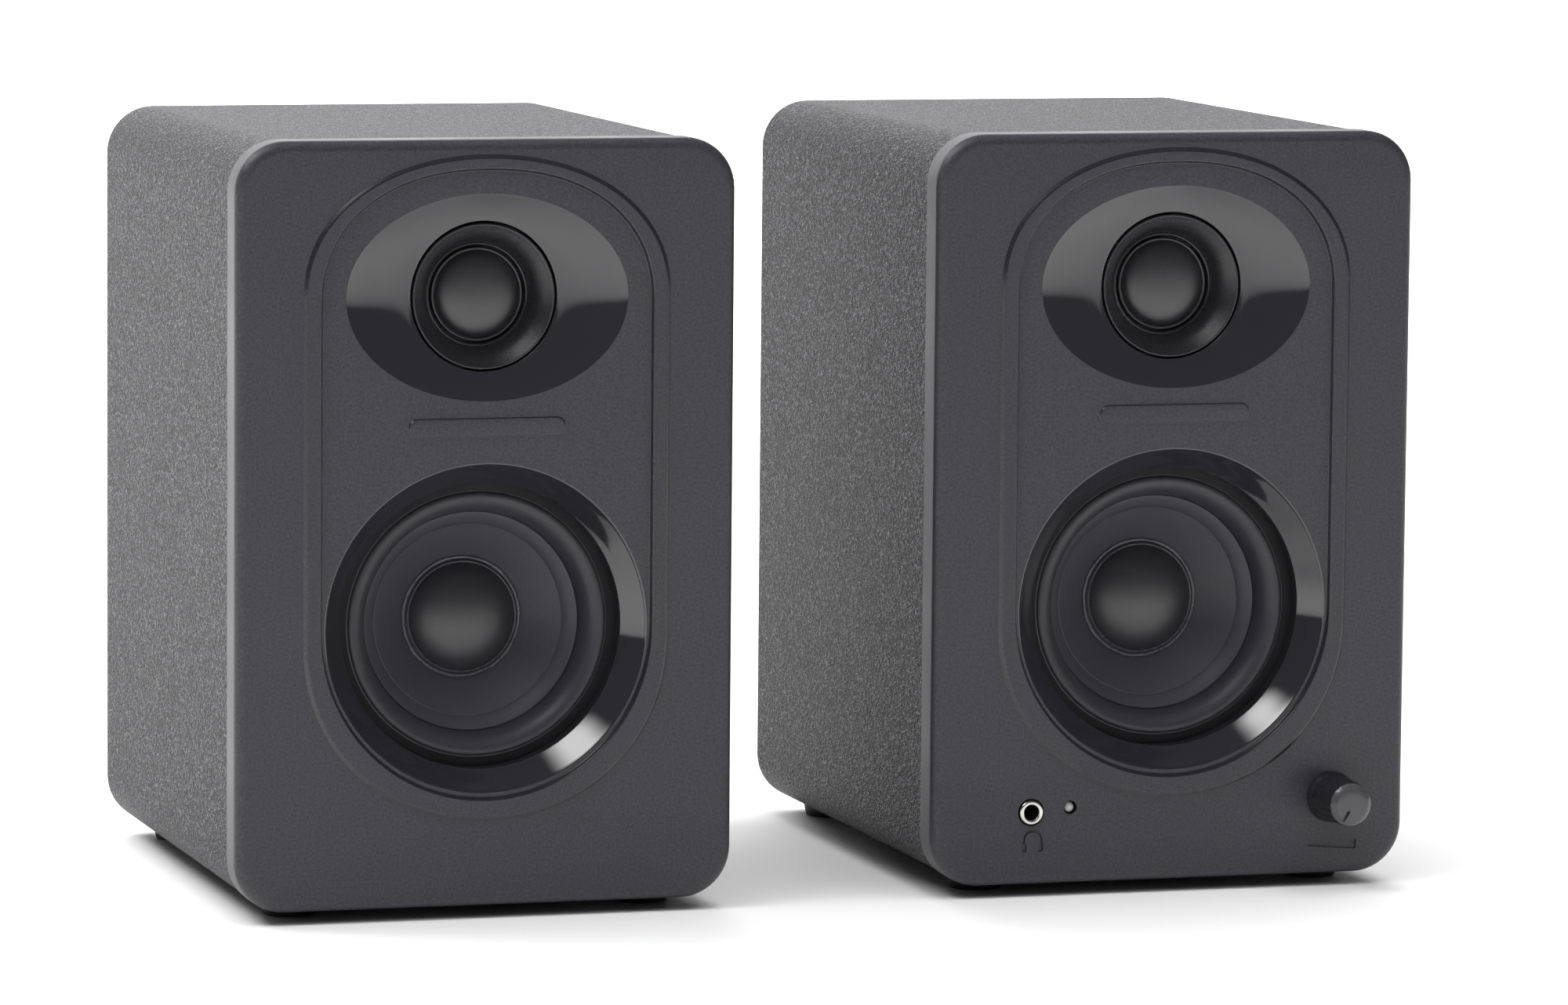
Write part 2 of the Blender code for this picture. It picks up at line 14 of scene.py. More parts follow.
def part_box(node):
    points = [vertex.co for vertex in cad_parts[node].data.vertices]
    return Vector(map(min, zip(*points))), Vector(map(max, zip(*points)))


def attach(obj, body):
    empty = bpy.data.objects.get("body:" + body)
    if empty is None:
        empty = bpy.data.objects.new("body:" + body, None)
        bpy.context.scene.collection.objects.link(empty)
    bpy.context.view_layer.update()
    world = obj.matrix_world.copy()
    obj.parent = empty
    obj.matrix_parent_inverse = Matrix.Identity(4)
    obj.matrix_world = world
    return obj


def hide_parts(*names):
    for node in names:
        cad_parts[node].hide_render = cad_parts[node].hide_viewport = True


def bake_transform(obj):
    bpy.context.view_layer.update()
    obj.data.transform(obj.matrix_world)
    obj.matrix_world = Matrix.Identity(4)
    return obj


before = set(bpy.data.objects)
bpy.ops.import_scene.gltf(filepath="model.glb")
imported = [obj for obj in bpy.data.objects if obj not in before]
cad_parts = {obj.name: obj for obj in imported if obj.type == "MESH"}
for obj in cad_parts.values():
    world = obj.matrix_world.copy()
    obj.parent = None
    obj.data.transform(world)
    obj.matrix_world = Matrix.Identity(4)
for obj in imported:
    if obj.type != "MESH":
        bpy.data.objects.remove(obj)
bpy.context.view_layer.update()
MM = 0.001

# Fronts
HALF_WIDTH = 70
HEIGHT = 210
CORNER = 14
EDGE_ROUND = 3
BAFFLE_BACK = 11
WOOFER_Z = 76.5
TWEETER_Z = 167
PANEL = 0.6
RIM = -0.7
LIP = 45.4
BOWL = (39.5, 28.3)
THROAT = 20.7
JACK = (-41, 20.5)
LED = (-29.5, 21.5)
KNOB = (48, 22)
PICTOGRAM = (-40.6, 12.2)
WEDGE = (48.4, 8.4)
PILL = (0, 131.6)
PILL_SIZE = (22, 2.5)

# Cabinets
BOX_FRONT = 11.3
BOX_BACK = 175
BOX_INSIDE = 166
PORT_Z = 182
PLATE_SEAT = 172.4
REAR = 175.3
PASSIVE_TERMINAL = (0, 70)
ACTIVE_TERMINAL = (15, 128)
SWITCH = (-36, 38)
INLET = (20, 36)
INPUTS = {"red": (-38, 80), "white": (-38, 100)}
PLATE = (0, 84)
LEVERS = {"red": -8.5, "black": 8.5}
BEZEL = 176.8
SOCKET_BACK = 158.8

# Woofer cone, from its edge to its neck
CONE_EDGE = (30, 18.3)
CONE_NECK = (13.2, 32.4)

# Camera: metres, millimetres and degrees
CAMERA_AT = (-0.6232, -2.1131, 0.3456)
CAMERA_YAW = 16.68
CAMERA_PITCH = 6.27
CAMERA_ROLL = 0.51
SENSOR = 36
LENS = 177.9

# Floor, in metres
FLOOR_HALF = 7
FLOOR_FLAT = 4.6
FLOOR_BEND = 1.2
FLOOR_TOP = 6


# ---------------------------------------------------------------- materials

class Nodes:
    """A material's node tree, built up node by node."""

    def __init__(self, name):
        self.made = bpy.data.materials.new(name)
        self.made.use_nodes = True
        self.tree = self.made.node_tree
        self.shader = self.tree.nodes["Principled BSDF"]
        self.place = self.add("ShaderNodeTexCoord").outputs["Object"]

    def add(self, kind, inputs=(), **settings):
        node = self.tree.nodes.new(kind)
        for key, value in settings.items():
            setattr(node, key, value)
        for key, value in dict(inputs).items():
            if isinstance(value, bpy.types.NodeSocket):
                self.tree.links.new(value, node.inputs[key])
            else:
                node.inputs[key].default_value = value
        return node

    def noise(self, size, detail=2.0, roughness=0.5, stretch=None):
        """Noise whose features are about size millimetres across."""
        place = self.place
        if stretch:
            place = self.add("ShaderNodeMapping", {"Vector": place, "Scale": stretch}).outputs[0]
        return self.add("ShaderNodeTexNoise", {"Vector": place, "Scale": 1 / (size * MM),
                                               "Detail": detail, "Roughness": roughness})

    def spread(self, value, low, high, start=0.0, end=1.0):
        return self.add("ShaderNodeMapRange", {"Value": value, "From Min": start, "From Max": end,
                                               "To Min": low, "To Max": high}).outputs[0]

    def colour(self, factor, dark, light):
        mix = self.add("ShaderNodeMix", data_type="RGBA")
        self.tree.links.new(factor, mix.inputs["Factor"])
        mix.inputs["A"].default_value = (*dark, 1)
        mix.inputs["B"].default_value = (*light, 1)
        self.tree.links.new(mix.outputs["Result"], self.shader.inputs["Base Color"])

    def bump(self, height, depth, strength=1.0):
        """Bump whose height runs over depth millimetres. Bumps add to each other."""
        node = self.add("ShaderNodeBump", {"Height": height, "Distance": depth * MM,
                                           "Strength": strength})
        normal = self.shader.inputs["Normal"]
        if normal.is_linked:
            self.tree.links.new(normal.links[0].from_socket, node.inputs["Normal"])
        self.tree.links.new(node.outputs[0], normal)

    def set(self, **values):
        for key, value in values.items():
            socket = self.shader.inputs[key.replace("_", " ")]
            if isinstance(value, bpy.types.NodeSocket):
                self.tree.links.new(value, socket)
            else:
                socket.default_value = value
        return self.made


def grey(level, tint=(1.0, 0.965, 1.16)):
    return tuple(level * part for part in tint)


def plain(name, dark, light, grain, rough, depth=0.02, metallic=0.0, detail=3.0, **more):
    """A moulded or machined surface: its colour, roughness and relief vary at the grain's size."""
    look = Nodes(name)
    fine = look.noise(grain, detail).outputs["Fac"]
    broad = look.noise(grain * 23, 2.0).outputs["Fac"]
    look.colour(look.spread(fine, 0, 1, 0.3, 0.7), dark, light)
    look.bump(fine, depth)
    mixed = look.add("ShaderNodeMath", {0: fine, 1: broad}, operation="ADD").outputs[0]
    return look.set(Roughness=look.spread(mixed, rough[0], rough[1], 0.6, 1.4),
                    Metallic=metallic, **more)


def vinyl():
    """Pebbled wrap: grains half a millimetre apart, longer along the cabinet. The colour is
    painted lighter on the pebble tops, as painted glints of light.
    """
    look = Nodes("cabinet_vinyl")
    along = (1, 0.5, 1)
    pebble = look.noise(0.42, 1.0, stretch=along).outputs["Fac"]
    clump = look.noise(1.0, 2.0, stretch=along).outputs["Fac"]
    height = look.add("ShaderNodeMath", {0: pebble, 1: clump}, operation="ADD").outputs[0]
    # painted glints: the highest pebbles get the lightest colour, standing in for light catching
    # their tops
    speck = look.spread(height, 0, 1, 0.9, 1.38)
    painted_glints = look.add("ShaderNodeMath", {0: speck, 1: 1.8}, operation="POWER").outputs[0]
    look.colour(painted_glints, grey(0.005), grey(0.14))
    look.bump(height, 0.5, 1.0)
    return look.set(Roughness=look.spread(pebble, 0.5, 0.34, 0.35, 0.65),
                    Specular_IOR_Level=0.1)


def moulding():
    """Fine spark-eroded satin."""
    look = Nodes("front_moulding")
    fine = look.noise(0.16, 3.0, 0.6).outputs["Fac"]
    speck = look.noise(0.7, 3.0, 0.65).outputs["Fac"]
    broad = look.noise(24, 2.0).outputs["Fac"]
    look.colour(look.spread(speck, 0, 1, 0.32, 0.68), grey(0.022), grey(0.05))
    look.bump(speck, 0.05, 0.7)
    look.bump(fine, 0.03, 0.9)
    return look.set(Roughness=look.spread(broad, 0.38, 0.44, 0.3, 0.7), Specular_IOR_Level=0.5)


def gloss():
    """Polished black with the faint waviness of moulded plastic."""
    look = Nodes("gloss_black")
    wave = look.noise(9, 1.0).outputs["Fac"]
    dust = look.noise(0.5, 4.0, 0.7).outputs["Fac"]
    look.colour(look.spread(dust, 0, 1, 0.45, 0.75), grey(0.019), grey(0.026))
    look.bump(wave, 0.05, 0.35)
    return look.set(Roughness=look.spread(dust, 0.045, 0.1, 0.4, 0.8), IOR=1.75)


def speckled_satin():
    """Satin black that glitters faintly, as on the horn."""
    look = Nodes("satin_black_plastic")
    fine = look.noise(0.3, 2.0).outputs["Fac"]
    look.colour(look.spread(fine, 0, 1, 0.35, 0.75), grey(0.007), grey(0.025))
    look.bump(fine, 0.08, 1.0)
    return look.set(Roughness=look.spread(fine, 0.24, 0.4, 0.3, 0.7), IOR=1.6)


def paper():
    """Coated pulp: short pressed fibres under a dull coat."""
    look = Nodes("coated_cone")
    fibre = look.noise(0.5, 5.0, 0.7, stretch=(1, 1, 0.35)).outputs["Fac"]
    fine = look.noise(0.18, 2.0).outputs["Fac"]
    look.colour(look.spread(fibre, 0, 1, 0.3, 0.7), grey(0.042), grey(0.06))
    look.bump(fibre, 0.03, 0.6)
    look.bump(fine, 0.012, 0.6)
    return look.set(Roughness=look.spread(fibre, 0.4, 0.52, 0.3, 0.7))


def cap_coat():
    """The dust cap's thicker coat, with a few shallow dents."""
    look = Nodes("dust_cap_coat")
    dent = look.noise(4.5, 3.0, 0.55).outputs["Fac"]
    fine = look.noise(0.2, 2.0).outputs["Fac"]
    look.colour(look.spread(fine, 0, 1, 0.3, 0.7), grey(0.015), grey(0.024))
    look.bump(dent, 0.25, 0.35)
    look.bump(fine, 0.025, 0.8)
    return look.set(Roughness=look.spread(fine, 0.38, 0.5, 0.3, 0.7), IOR=1.8)


def silk():
    """Woven silk under a damping coat."""
    look = Nodes("coated_silk")
    threads = []
    for turn in (0, math.radians(90)):
        lined = look.add("ShaderNodeMapping", {"Vector": look.place, "Rotation": (0, turn, 0)})
        wave = look.add("ShaderNodeTexWave", {"Vector": lined.outputs[0], "Scale": 900,
                                              "Distortion": 0.6, "Detail": 1.0})
        threads.append(wave.outputs["Fac"])
    weave = look.add("ShaderNodeMath", {0: threads[0], 1: threads[1]}, operation="MULTIPLY")
    coat = look.noise(0.6, 3.0).outputs["Fac"]
    look.colour(look.spread(coat, 0, 1, 0.3, 0.7), grey(0.012), grey(0.022))
    look.bump(weave.outputs[0], 0.03, 0.6)
    look.bump(coat, 0.03, 0.4)
    return look.set(Roughness=look.spread(coat, 0.36, 0.48, 0.3, 0.7), IOR=1.8)


def brushed(name, dark, light, rough, stretch, metallic=1.0):
    """Metal with fine parallel brushing."""
    look = Nodes(name)
    lines = look.noise(0.5, 4.0, 0.7, stretch=stretch).outputs["Fac"]
    broad = look.noise(15, 2.0).outputs["Fac"]
    look.colour(look.spread(lines, 0, 1, 0.3, 0.7), dark, light)
    look.bump(lines, 0.015, 0.6)
    mixed = look.add("ShaderNodeMath", {0: lines, 1: broad}, operation="ADD").outputs[0]
    return look.set(Roughness=look.spread(mixed, rough[0], rough[1], 0.6, 1.4), Metallic=metallic)


def wound():
    """Enamelled wire in close turns along y."""
    look = Nodes("copper_winding")
    turns = look.add("ShaderNodeTexWave", {"Vector": look.place, "Scale": 700,
                                           "Distortion": 0.3}, bands_direction="Y")
    look.colour(turns.outputs["Fac"], (0.25, 0.08, 0.03), (0.75, 0.33, 0.16))
    look.bump(turns.outputs["Fac"], 0.1, 0.8)
    return look.set(Roughness=look.spread(turns.outputs["Fac"], 0.45, 0.25), Metallic=1.0)


def cloth():
    """The spider's resin-stiffened weave."""
    look = Nodes("spider_cloth")
    threads = []
    for axis in ("X", "Z"):
        threads.append(look.add("ShaderNodeTexWave", {"Vector": look.place, "Scale": 500,
                                                      "Distortion": 0.8},
                                bands_direction=axis).outputs["Fac"])
    weave = look.add("ShaderNodeMath", {0: threads[0], 1: threads[1]}, operation="MULTIPLY")
    look.colour(weave.outputs[0], (0.32, 0.2, 0.06), (0.62, 0.44, 0.18))
    look.bump(weave.outputs[0], 0.08, 0.8)
    return look.set(Roughness=look.spread(weave.outputs[0], 0.85, 0.7))


def board():
    """Green solder mask over faint copper tracks."""
    look = Nodes("circuit_board")
    tracks = look.add("ShaderNodeTexBrick", {"Vector": look.place, "Scale": 60,
                                             "Mortar Size": 0.02})
    fine = look.noise(0.3, 2.0).outputs["Fac"]
    look.colour(tracks.outputs["Fac"], (0.012, 0.09, 0.035), (0.03, 0.17, 0.06))
    look.bump(tracks.outputs["Fac"], 0.05)
    return look.set(Roughness=look.spread(fine, 0.3, 0.42))


LOOKS = {
    "cabinet_vinyl": vinyl(),
    "front_moulding": moulding(),
    # painted shade: a darker, glossier copy of the front moulding for the rim's step faces; the
    # gloss is a finish, the darker colour paints the rim's dark edge lines
    "moulding_flank": plain("moulding_flank", grey(0.014), grey(0.02), 0.4, (0.2, 0.28), 0.01,
                            IOR=1.6),
    "gloss_black": gloss(),
    "satin_black_plastic": speckled_satin(),
    "black_rubber": plain("black_rubber", grey(0.013), grey(0.02), 0.5, (0.5, 0.68), 0.04),
    "surround_rubber": plain("surround_rubber", grey(0.028), grey(0.038), 0.25, (0.38, 0.5), 0.02),
    # painted shade: near-black, darker than the rubber, for the woofer surround's outer land in
    # the ring's shadow and for the box's inner walls
    "painted_shade_black": plain("painted_shade_black", grey(0.006), grey(0.01), 0.35, (0.6, 0.75), 0.05,
                    Specular_IOR_Level=0.3),
    "coated_cone": paper(),
    "dust_cap_coat": cap_coat(),
    "glue": plain("glue", grey(0.05), grey(0.12), 0.5, (0.2, 0.4), 0.1),
    "coated_silk": silk(),
    "painted_steel": plain("painted_steel", grey(0.02), grey(0.034), 0.8, (0.35, 0.5), 0.05, 0.3),
    "plated_steel": plain("plated_steel", (0.5, 0.5, 0.53), (0.62, 0.61, 0.6), 1.2, (0.24, 0.4),
                          0.02, 1.0),
    "ferrite": plain("ferrite", grey(0.045), grey(0.075), 0.5, (0.5, 0.65), 0.05),
    "copper_winding": wound(),
    "spider_cloth": cloth(),
    "anodised_aluminium": brushed("anodised_aluminium", grey(0.035), grey(0.06), (0.3, 0.42),
                                  (1, 1, 60), 0.8),
    "bare_aluminium": brushed("bare_aluminium", grey(0.55), grey(0.75), (0.26, 0.4), (40, 1, 1)),
    "red_plastic": plain("red_plastic", (0.4, 0.012, 0.012), (0.5, 0.02, 0.016), 0.5,
                         (0.28, 0.4), 0.02),
    "white_plastic": plain("white_plastic", (0.7, 0.7, 0.67), (0.8, 0.79, 0.76), 0.5,
                           (0.28, 0.4), 0.02),
    "black_plastic": plain("black_plastic", grey(0.012), grey(0.018), 0.3, (0.32, 0.46), 0.03),
    "circuit_board": board(),
    "nickel": plain("nickel", (0.62, 0.6, 0.56), (0.74, 0.72, 0.68), 2.0, (0.12, 0.24), 0.01,
                    1.0),
    "knob_face": plain("knob_face", (0.075, 0.074, 0.079), (0.1, 0.099, 0.105), 0.3,
                       (0.26, 0.36), 0.02, 0.35),
    "led_lens": plain("led_lens", (0.6, 0.63, 0.58), (0.72, 0.75, 0.7), 0.6, (0.12, 0.24), 0.02,
                      0.0, 2.0, Transmission_Weight=0.12),
    "capacitor_sleeve": plain("capacitor_sleeve", (0.02, 0.05, 0.18), (0.03, 0.07, 0.24), 1.5,
                              (0.25, 0.4), 0.03),
}


# ---------------------------------------------------------------- mesh making

def rounded(half_width, half_height, radius, centre=(0, 0), steps=8):
    """A rounded rectangle, anticlockwise seen from the front."""
    points = []
    for corner, (sx, sz) in enumerate(((1, -1), (1, 1), (-1, 1), (-1, -1))):
        for step in range(steps + 1):
            angle = math.radians(-90 + 90 * corner + 90 * step / steps)
            points.append((centre[0] + sx * (half_width - radius) + radius * math.cos(angle),
                           centre[1] + sz * (half_height - radius) + radius * math.sin(angle)))
    return points


def oval(half_width, half_height, centre=(0, 0), steps=96):
    return [(centre[0] + half_width * math.cos(2 * math.pi * step / steps),
             centre[1] + half_height * math.sin(2 * math.pi * step / steps))
            for step in range(steps)]


def circle(radius, centre=(0, 0), steps=96):
    return oval(radius, radius, centre, steps)


def race_track(inset, top, bottom, steps=56):
    """The front's raised outline: top and bottom hold (half width, rise, start height, power)."""
    points = []
    for sign, (half, rise, start, power) in ((1, top), (-1, bottom)):
        for step in range(steps + 1):
            angle = math.pi * step / steps
            across, up = math.cos(angle), math.sin(angle)
            length = (abs(across) ** power + up ** power) ** (-1 / power)
            points.append((sign * (half - inset) * across * length,
                           start + sign * (rise - inset) * up * length))
    return points


def outer_track(inset):
    return race_track(inset, (51.3, 37.9, 168, 2.12), (51.3, 49.6, 73.5, 2.1))


def inner_track(inset):
    return race_track(inset, (46.4, 36.6, 165.4, 2.25), (46.4, 46.9, 76.5, 2.0))


def blended(outline, other, share):
    return [(a + (c - a) * share, b + (d - b) * share)
            for (a, b), (c, d) in zip(outline, other)]


class Shape:
    """A mesh in the making, from closed outlines that stand across one axis."""

    def __init__(self, axis="y"):
        self.bm = bmesh.new()
        self.axis = axis

    def ring(self, outline, depth):
        """A closed row of vertices. Across y, an outline holds (x, z); across x, (y, z); across
        z, (x, y)."""
        order = {"y": lambda a, b: (a, depth, b), "x": lambda a, b: (depth, a, b),
                 "z": lambda a, b: (a, b, depth)}[self.axis]
        return [self.bm.verts.new(Vector(order(a, b)) * MM) for a, b in outline]

    def skin(self, first, second, look=0):
        count = len(first)
        for at in range(count):
            ahead = (at + 1) % count
            face = self.bm.faces.new((first[at], first[ahead], second[ahead], second[at]))
            face.material_index = look
        return second

    def tube(self, start, *rings, look=0):
        """Skins from the ring start through more (outline, depth) rings; gives the last ring."""
        for outline, depth in rings:
            start = self.skin(start, self.ring(outline, depth), look)
        return start

    def fill(self, *loops, look=0):
        """A flat face between the first loop and the others, which are holes in it."""
        edges = []
        for loop in loops:
            for at, vert in enumerate(loop):
                ahead = loop[(at + 1) % len(loop)]
                edges.append(self.bm.edges.get((vert, ahead)) or self.bm.edges.new((vert, ahead)))
        before = set(self.bm.faces)
        bmesh.ops.triangle_fill(self.bm, use_beauty=True, edges=edges)
        for face in self.bm.faces:
            if face not in before:
                face.material_index = look

    def done(self, name, looks, angle=32):
        bmesh.ops.recalc_face_normals(self.bm, faces=self.bm.faces)
        mesh = bpy.data.meshes.new(name)
        self.bm.to_mesh(mesh)
        self.bm.free()
        mesh.shade_smooth()
        mesh.set_sharp_from_angle(angle=math.radians(angle))
        for look in looks:
            mesh.materials.append(LOOKS[look])
        return bpy.data.objects.new(name, mesh)


def turned(name, profile, looks, axis="y", steps=96, marks=(), angle=32, shift=None):
    """A turned shape: profile holds (radius, depth) and closes on itself or ends on the axis.
    marks holds the second look's (first, last) rows; shift(row, angle) changes a radius."""
    shape = Shape(axis)
    rows = []
    for row, (radius, depth) in enumerate(profile):
        if radius == 0:
            rows.append([shape.ring([(0, 0)], depth)[0]])
            continue
        outline = []
        for step in range(steps):
            turn = 2 * math.pi * step / steps
            out = radius + (shift(row, turn) if shift else 0)
            outline.append((out * math.cos(turn), out * math.sin(turn)))
        rows.append(shape.ring(outline, depth))
    pairs = list(zip(rows, rows[1:]))
    if len(rows[0]) > 1:
        pairs.append((rows[-1], rows[0]))
    for row, (first, second) in enumerate(pairs):
        look = 1 if any(low <= row <= high for low, high in marks) else 0
        if len(first) == len(second) == 1:
            continue
        if len(first) == 1 or len(second) == 1:
            tip, loop = (first[0], second) if len(first) == 1 else (second[0], first)
            for at in range(steps):
                face = shape.bm.faces.new((tip, loop[at], loop[(at + 1) % steps]))
                face.material_index = look
        else:
            shape.skin(first, second, look)
    return shape.done(name, looks, angle)


def edge(outline_at, depth, radius, steps=4, inwards=1):
    """Rings that round an edge off, from the side wall onto the face that lies at depth.
    inwards is 1 for a face that looks to the front and -1 for one that looks to the back."""
    rings = []
    for step in range(steps + 1):
        angle = math.pi / 2 * step / steps
        rings.append((outline_at(radius * (1 - math.cos(angle))),
                      depth + inwards * radius * (1 - math.sin(angle))))
    return rings


# ---------------------------------------------------------------- placing

class Speaker:
    """One of the two speakers: puts pieces in its frame, on its bodies."""

    def __init__(self, side):
        self.side = side
        low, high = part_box(f"{side}_baffle")
        self.origin = Vector(((low.x + high.x) / 2, low.y, low.z))

    def put(self, piece, at=(0, 0, 0), body=None, slot=None, nodes=(), weighted=False,
            give=None):
        """give, when set, bakes the piece's place into its mesh instead of putting it on a body;
        only whether give is set counts.
        """
        bpy.context.scene.collection.objects.link(piece)
        if weighted:
            shade = piece.modifiers.new("Even shading", "WEIGHTED_NORMAL")
            shade.keep_sharp = True
            shade.weight = 80
        piece.location = self.origin + Vector(at) * MM
        if give:
            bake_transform(piece)
        else:
            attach(piece, body or f"{self.side}_speaker")
        if nodes:
            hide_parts(*nodes)
        return piece

    def named(self, tail):
        return f"{self.side}_{tail}"


# ---------------------------------------------------------------- front

def headphone_outline():
    """A headband with its two ear cups, as one closed line."""
    x, z = PICTOGRAM
    points = [(2.9 * math.cos(math.radians(a)), 0.5 + 2.9 * math.sin(math.radians(a)))
              for a in range(0, 181, 12)]
    points += [(-3.0, -0.7), (-3.2, -1.2), (-3.2, -2.4), (-2.7, -2.9), (-1.7, -2.9), (-1.7, -0.7),
               (-2.2, -0.7)]
    points += [(2.2 * math.cos(math.radians(a)), 0.5 + 2.2 * math.sin(math.radians(a)))
               for a in range(180, -1, -12)]
    points += [(2.2, -0.7), (1.7, -0.7), (1.7, -2.9), (2.7, -2.9), (3.2, -2.4), (3.2, -1.2),
               (3.0, -0.7)]
    return [(x + a, z + b) for a, b in points]


def wedge_outline():
    """A ramp that grows to the right, for the volume."""
    x, z = WEDGE
    return [(x - 7, z - 0.35), (x + 7, z - 1.5), (x + 7.4, z - 1.2), (x + 7.4, z + 1.2),
            (x + 7, z + 1.5), (x - 7, z + 0.35)]


def baffle(speaker):
    """The front moulding, with its raised race-track rim, gloss bowl and gloss woofer ring."""
    shape = Shape()
    active = speaker.side == "active"

    def outline(inset):
        return rounded(HALF_WIDTH - inset, HEIGHT / 2 - inset, CORNER - inset, (0, HEIGHT / 2), 12)

    back = shape.ring(outline(0), BAFFLE_BACK)
    face = shape.tube(back, *edge(outline, 0, EDGE_ROUND, 7))
    # The steps' faces take the fourth look, moulding_flank: the same moulding, painted darker as
    # shade for the rim's edge lines
    step = [(-0.1, 0), (0, -0.03), (0.62, -0.58), (0.85, -0.67), (1.1, RIM)]
    foot = shape.ring(outer_track(step[0][0]), step[0][1])
    crest = shape.tube(foot, *[(outer_track(inset), depth) for inset, depth in step[1:]],
                       look=3)
    step = [(-0.45, RIM), (-0.25, -0.66), (-0.1, -0.5), (0.3, 0.42), (0.42, 0.56), (0.55, PANEL)]
    brink = shape.ring(inner_track(step[0][0]), step[0][1])
    shape.fill(crest, brink)
    floor = shape.tube(brink, *[(inner_track(inset), depth) for inset, depth in step[1:]],
                       look=3)

    def round_woofer(radius):
        return circle(radius, (0, WOOFER_Z))

    lip = shape.ring(round_woofer(LIP), PANEL)
    wall = [(LIP - 0.12, PANEL), (LIP - 0.32, 0.68), (LIP - 0.5, 0.9), (LIP - 0.7, 1.2),
            (43.7, 2.25), (42.4, 3.7), (41.1, 5.15), (39.8, 6.6), (39.55, 6.75), (39.4, 7.0)]
    neck = shape.tube(lip, *[(round_woofer(radius), depth) for radius, depth in wall], look=1)
    # painted shade: the wall behind the gloss ring takes black plastic, darker than the moulding
    # it belongs to
    woofer_back = shape.tube(neck, (round_woofer(39.4), BAFFLE_BACK), look=2)

    bowl = shape.ring(oval(*BOWL, (0, TWEETER_Z)), PANEL)
    wide = oval(BOWL[0] - 0.35, BOWL[1] - 0.35, (0, TWEETER_Z))
    inner = shape.tube(bowl, (oval(BOWL[0] - 0.1, BOWL[1] - 0.1, (0, TWEETER_Z)), PANEL + 0.05),
                       (wide, PANEL + 0.22), look=1)
    narrow = circle(THROAT, (0, TWEETER_Z))
    for part in range(1, 17):
        share = part / 16
        depth = PANEL + 0.22 + 4.3 * (1 - (1 - share) ** 1.5)
        inner = shape.tube(inner, (blended(wide, narrow, share), depth), look=1)
    inner = shape.tube(inner, (circle(THROAT - 0.15, (0, TWEETER_Z)), PANEL + 4.7), look=1)
    # painted shade: the wall of the tweeter hole takes black plastic
    throat = shape.tube(inner, (circle(THROAT - 0.15, (0, TWEETER_Z)), BAFFLE_BACK), look=2)

    def pill(inset):
        return rounded(PILL_SIZE[0] - inset, PILL_SIZE[1] - inset, PILL_SIZE[1] - inset - 0.01,
                       PILL, 8)

    base = shape.ring(pill(-0.15), PANEL)
    top = shape.tube(base, (pill(0), PANEL - 0.1), (pill(0.1), PANEL - 0.55), look=1)
    top = shape.tube(top, (pill(0.3), PANEL - 0.7))
    shape.fill(top)
    shape.fill(floor, lip, bowl, base)

    holes, backs = [], []
    if active:
        for place, radius, sink in ((JACK, 3.7, 0.35), (LED, 1.9, 0.25), (KNOB, 3.8, 0.3)):
            rim = shape.ring(circle(radius + sink, place, 32), 0)
            holes.append(rim)
            hole = shape.tube(rim, (circle(radius + 0.1, place, 32), 0.1),
                              (circle(radius, place, 32), sink))
            # painted shade: the wall of each control hole takes black plastic
            backs.append(shape.tube(hole, (circle(radius, place, 32), BAFFLE_BACK), look=2))
        for mark in (headphone_outline(), wedge_outline()):
            rim = shape.ring(mark, 0)
            holes.append(rim)
            # painted shade: the sunk pictogram and wedge take black plastic on their walls and
            # floors, where the real marks are only sunk
            shape.fill(shape.tube(rim, (mark, 0.6), look=2))
    shape.fill(face, foot, *holes)
    shape.fill(back, woofer_back, throat, *backs)
    # The third look, black plastic, is painted shade in the moulding's holes and sunk marks
    piece = shape.done(speaker.named("front"), ("front_moulding", "gloss_black",
                                                "black_plastic", "moulding_flank"), 50)
    speaker.put(piece, slot="front_moulding", nodes=[speaker.named("baffle")], weighted=True)


def cabinet(speaker):
    """The wrapped box, open at the front, with its openings at the back."""
    shape = Shape()

    def outside(inset):
        return rounded(69.5 - inset, 104.5 - inset, 13.5 - inset, (0, HEIGHT / 2), 12)

    def inside(inset):
        return rounded(60.5 - inset, 95.5 - inset, 5 - inset, (0, HEIGHT / 2), 12)

    mouth = shape.ring(outside(0), BOX_FRONT)
    last = shape.tube(mouth, *edge(outside, BOX_BACK, 1.6, 4, inwards=-1))
    opening = shape.ring(inside(0), BOX_FRONT)
    shape.fill(mouth, opening)
    port = shape.ring(circle(17.8, (0, PORT_Z), 64), BOX_BACK)
    port_end = shape.tube(port, (circle(17.8, (0, PORT_Z), 64), BOX_INSIDE), look=1)
    if speaker.side == "active":
        rebate = rounded(55.3, 70.3, 2, PLATE)
        window = rounded(48, 63, 2, PLATE)
        cut = shape.ring(rebate, BOX_BACK)
        seat = shape.tube(cut, (rebate, PLATE_SEAT), look=1)
        hole = shape.ring(window, PLATE_SEAT)
        shape.fill(seat, hole, look=1)
    else:
        window = rounded(18.3, 13.3, 0.5, PASSIVE_TERMINAL, 3)
        cut = hole = shape.ring(window, BOX_BACK)
    hole_end = shape.tube(hole, (window, BOX_INSIDE), look=1)
    shape.fill(last, port, cut)
    bottom = shape.tube(opening, (inside(0), BOX_INSIDE), look=1)
    shape.fill(bottom, port_end, hole_end, look=1)
    # The second look is near-black painted shade on the box's inner walls and the walls of its
    # openings
    piece = shape.done(speaker.named("wrapped_box"), ("cabinet_vinyl", "painted_shade_black"), 40)
    speaker.put(piece, slot="cabinet_vinyl", nodes=[speaker.named("cabinet")], weighted=True)


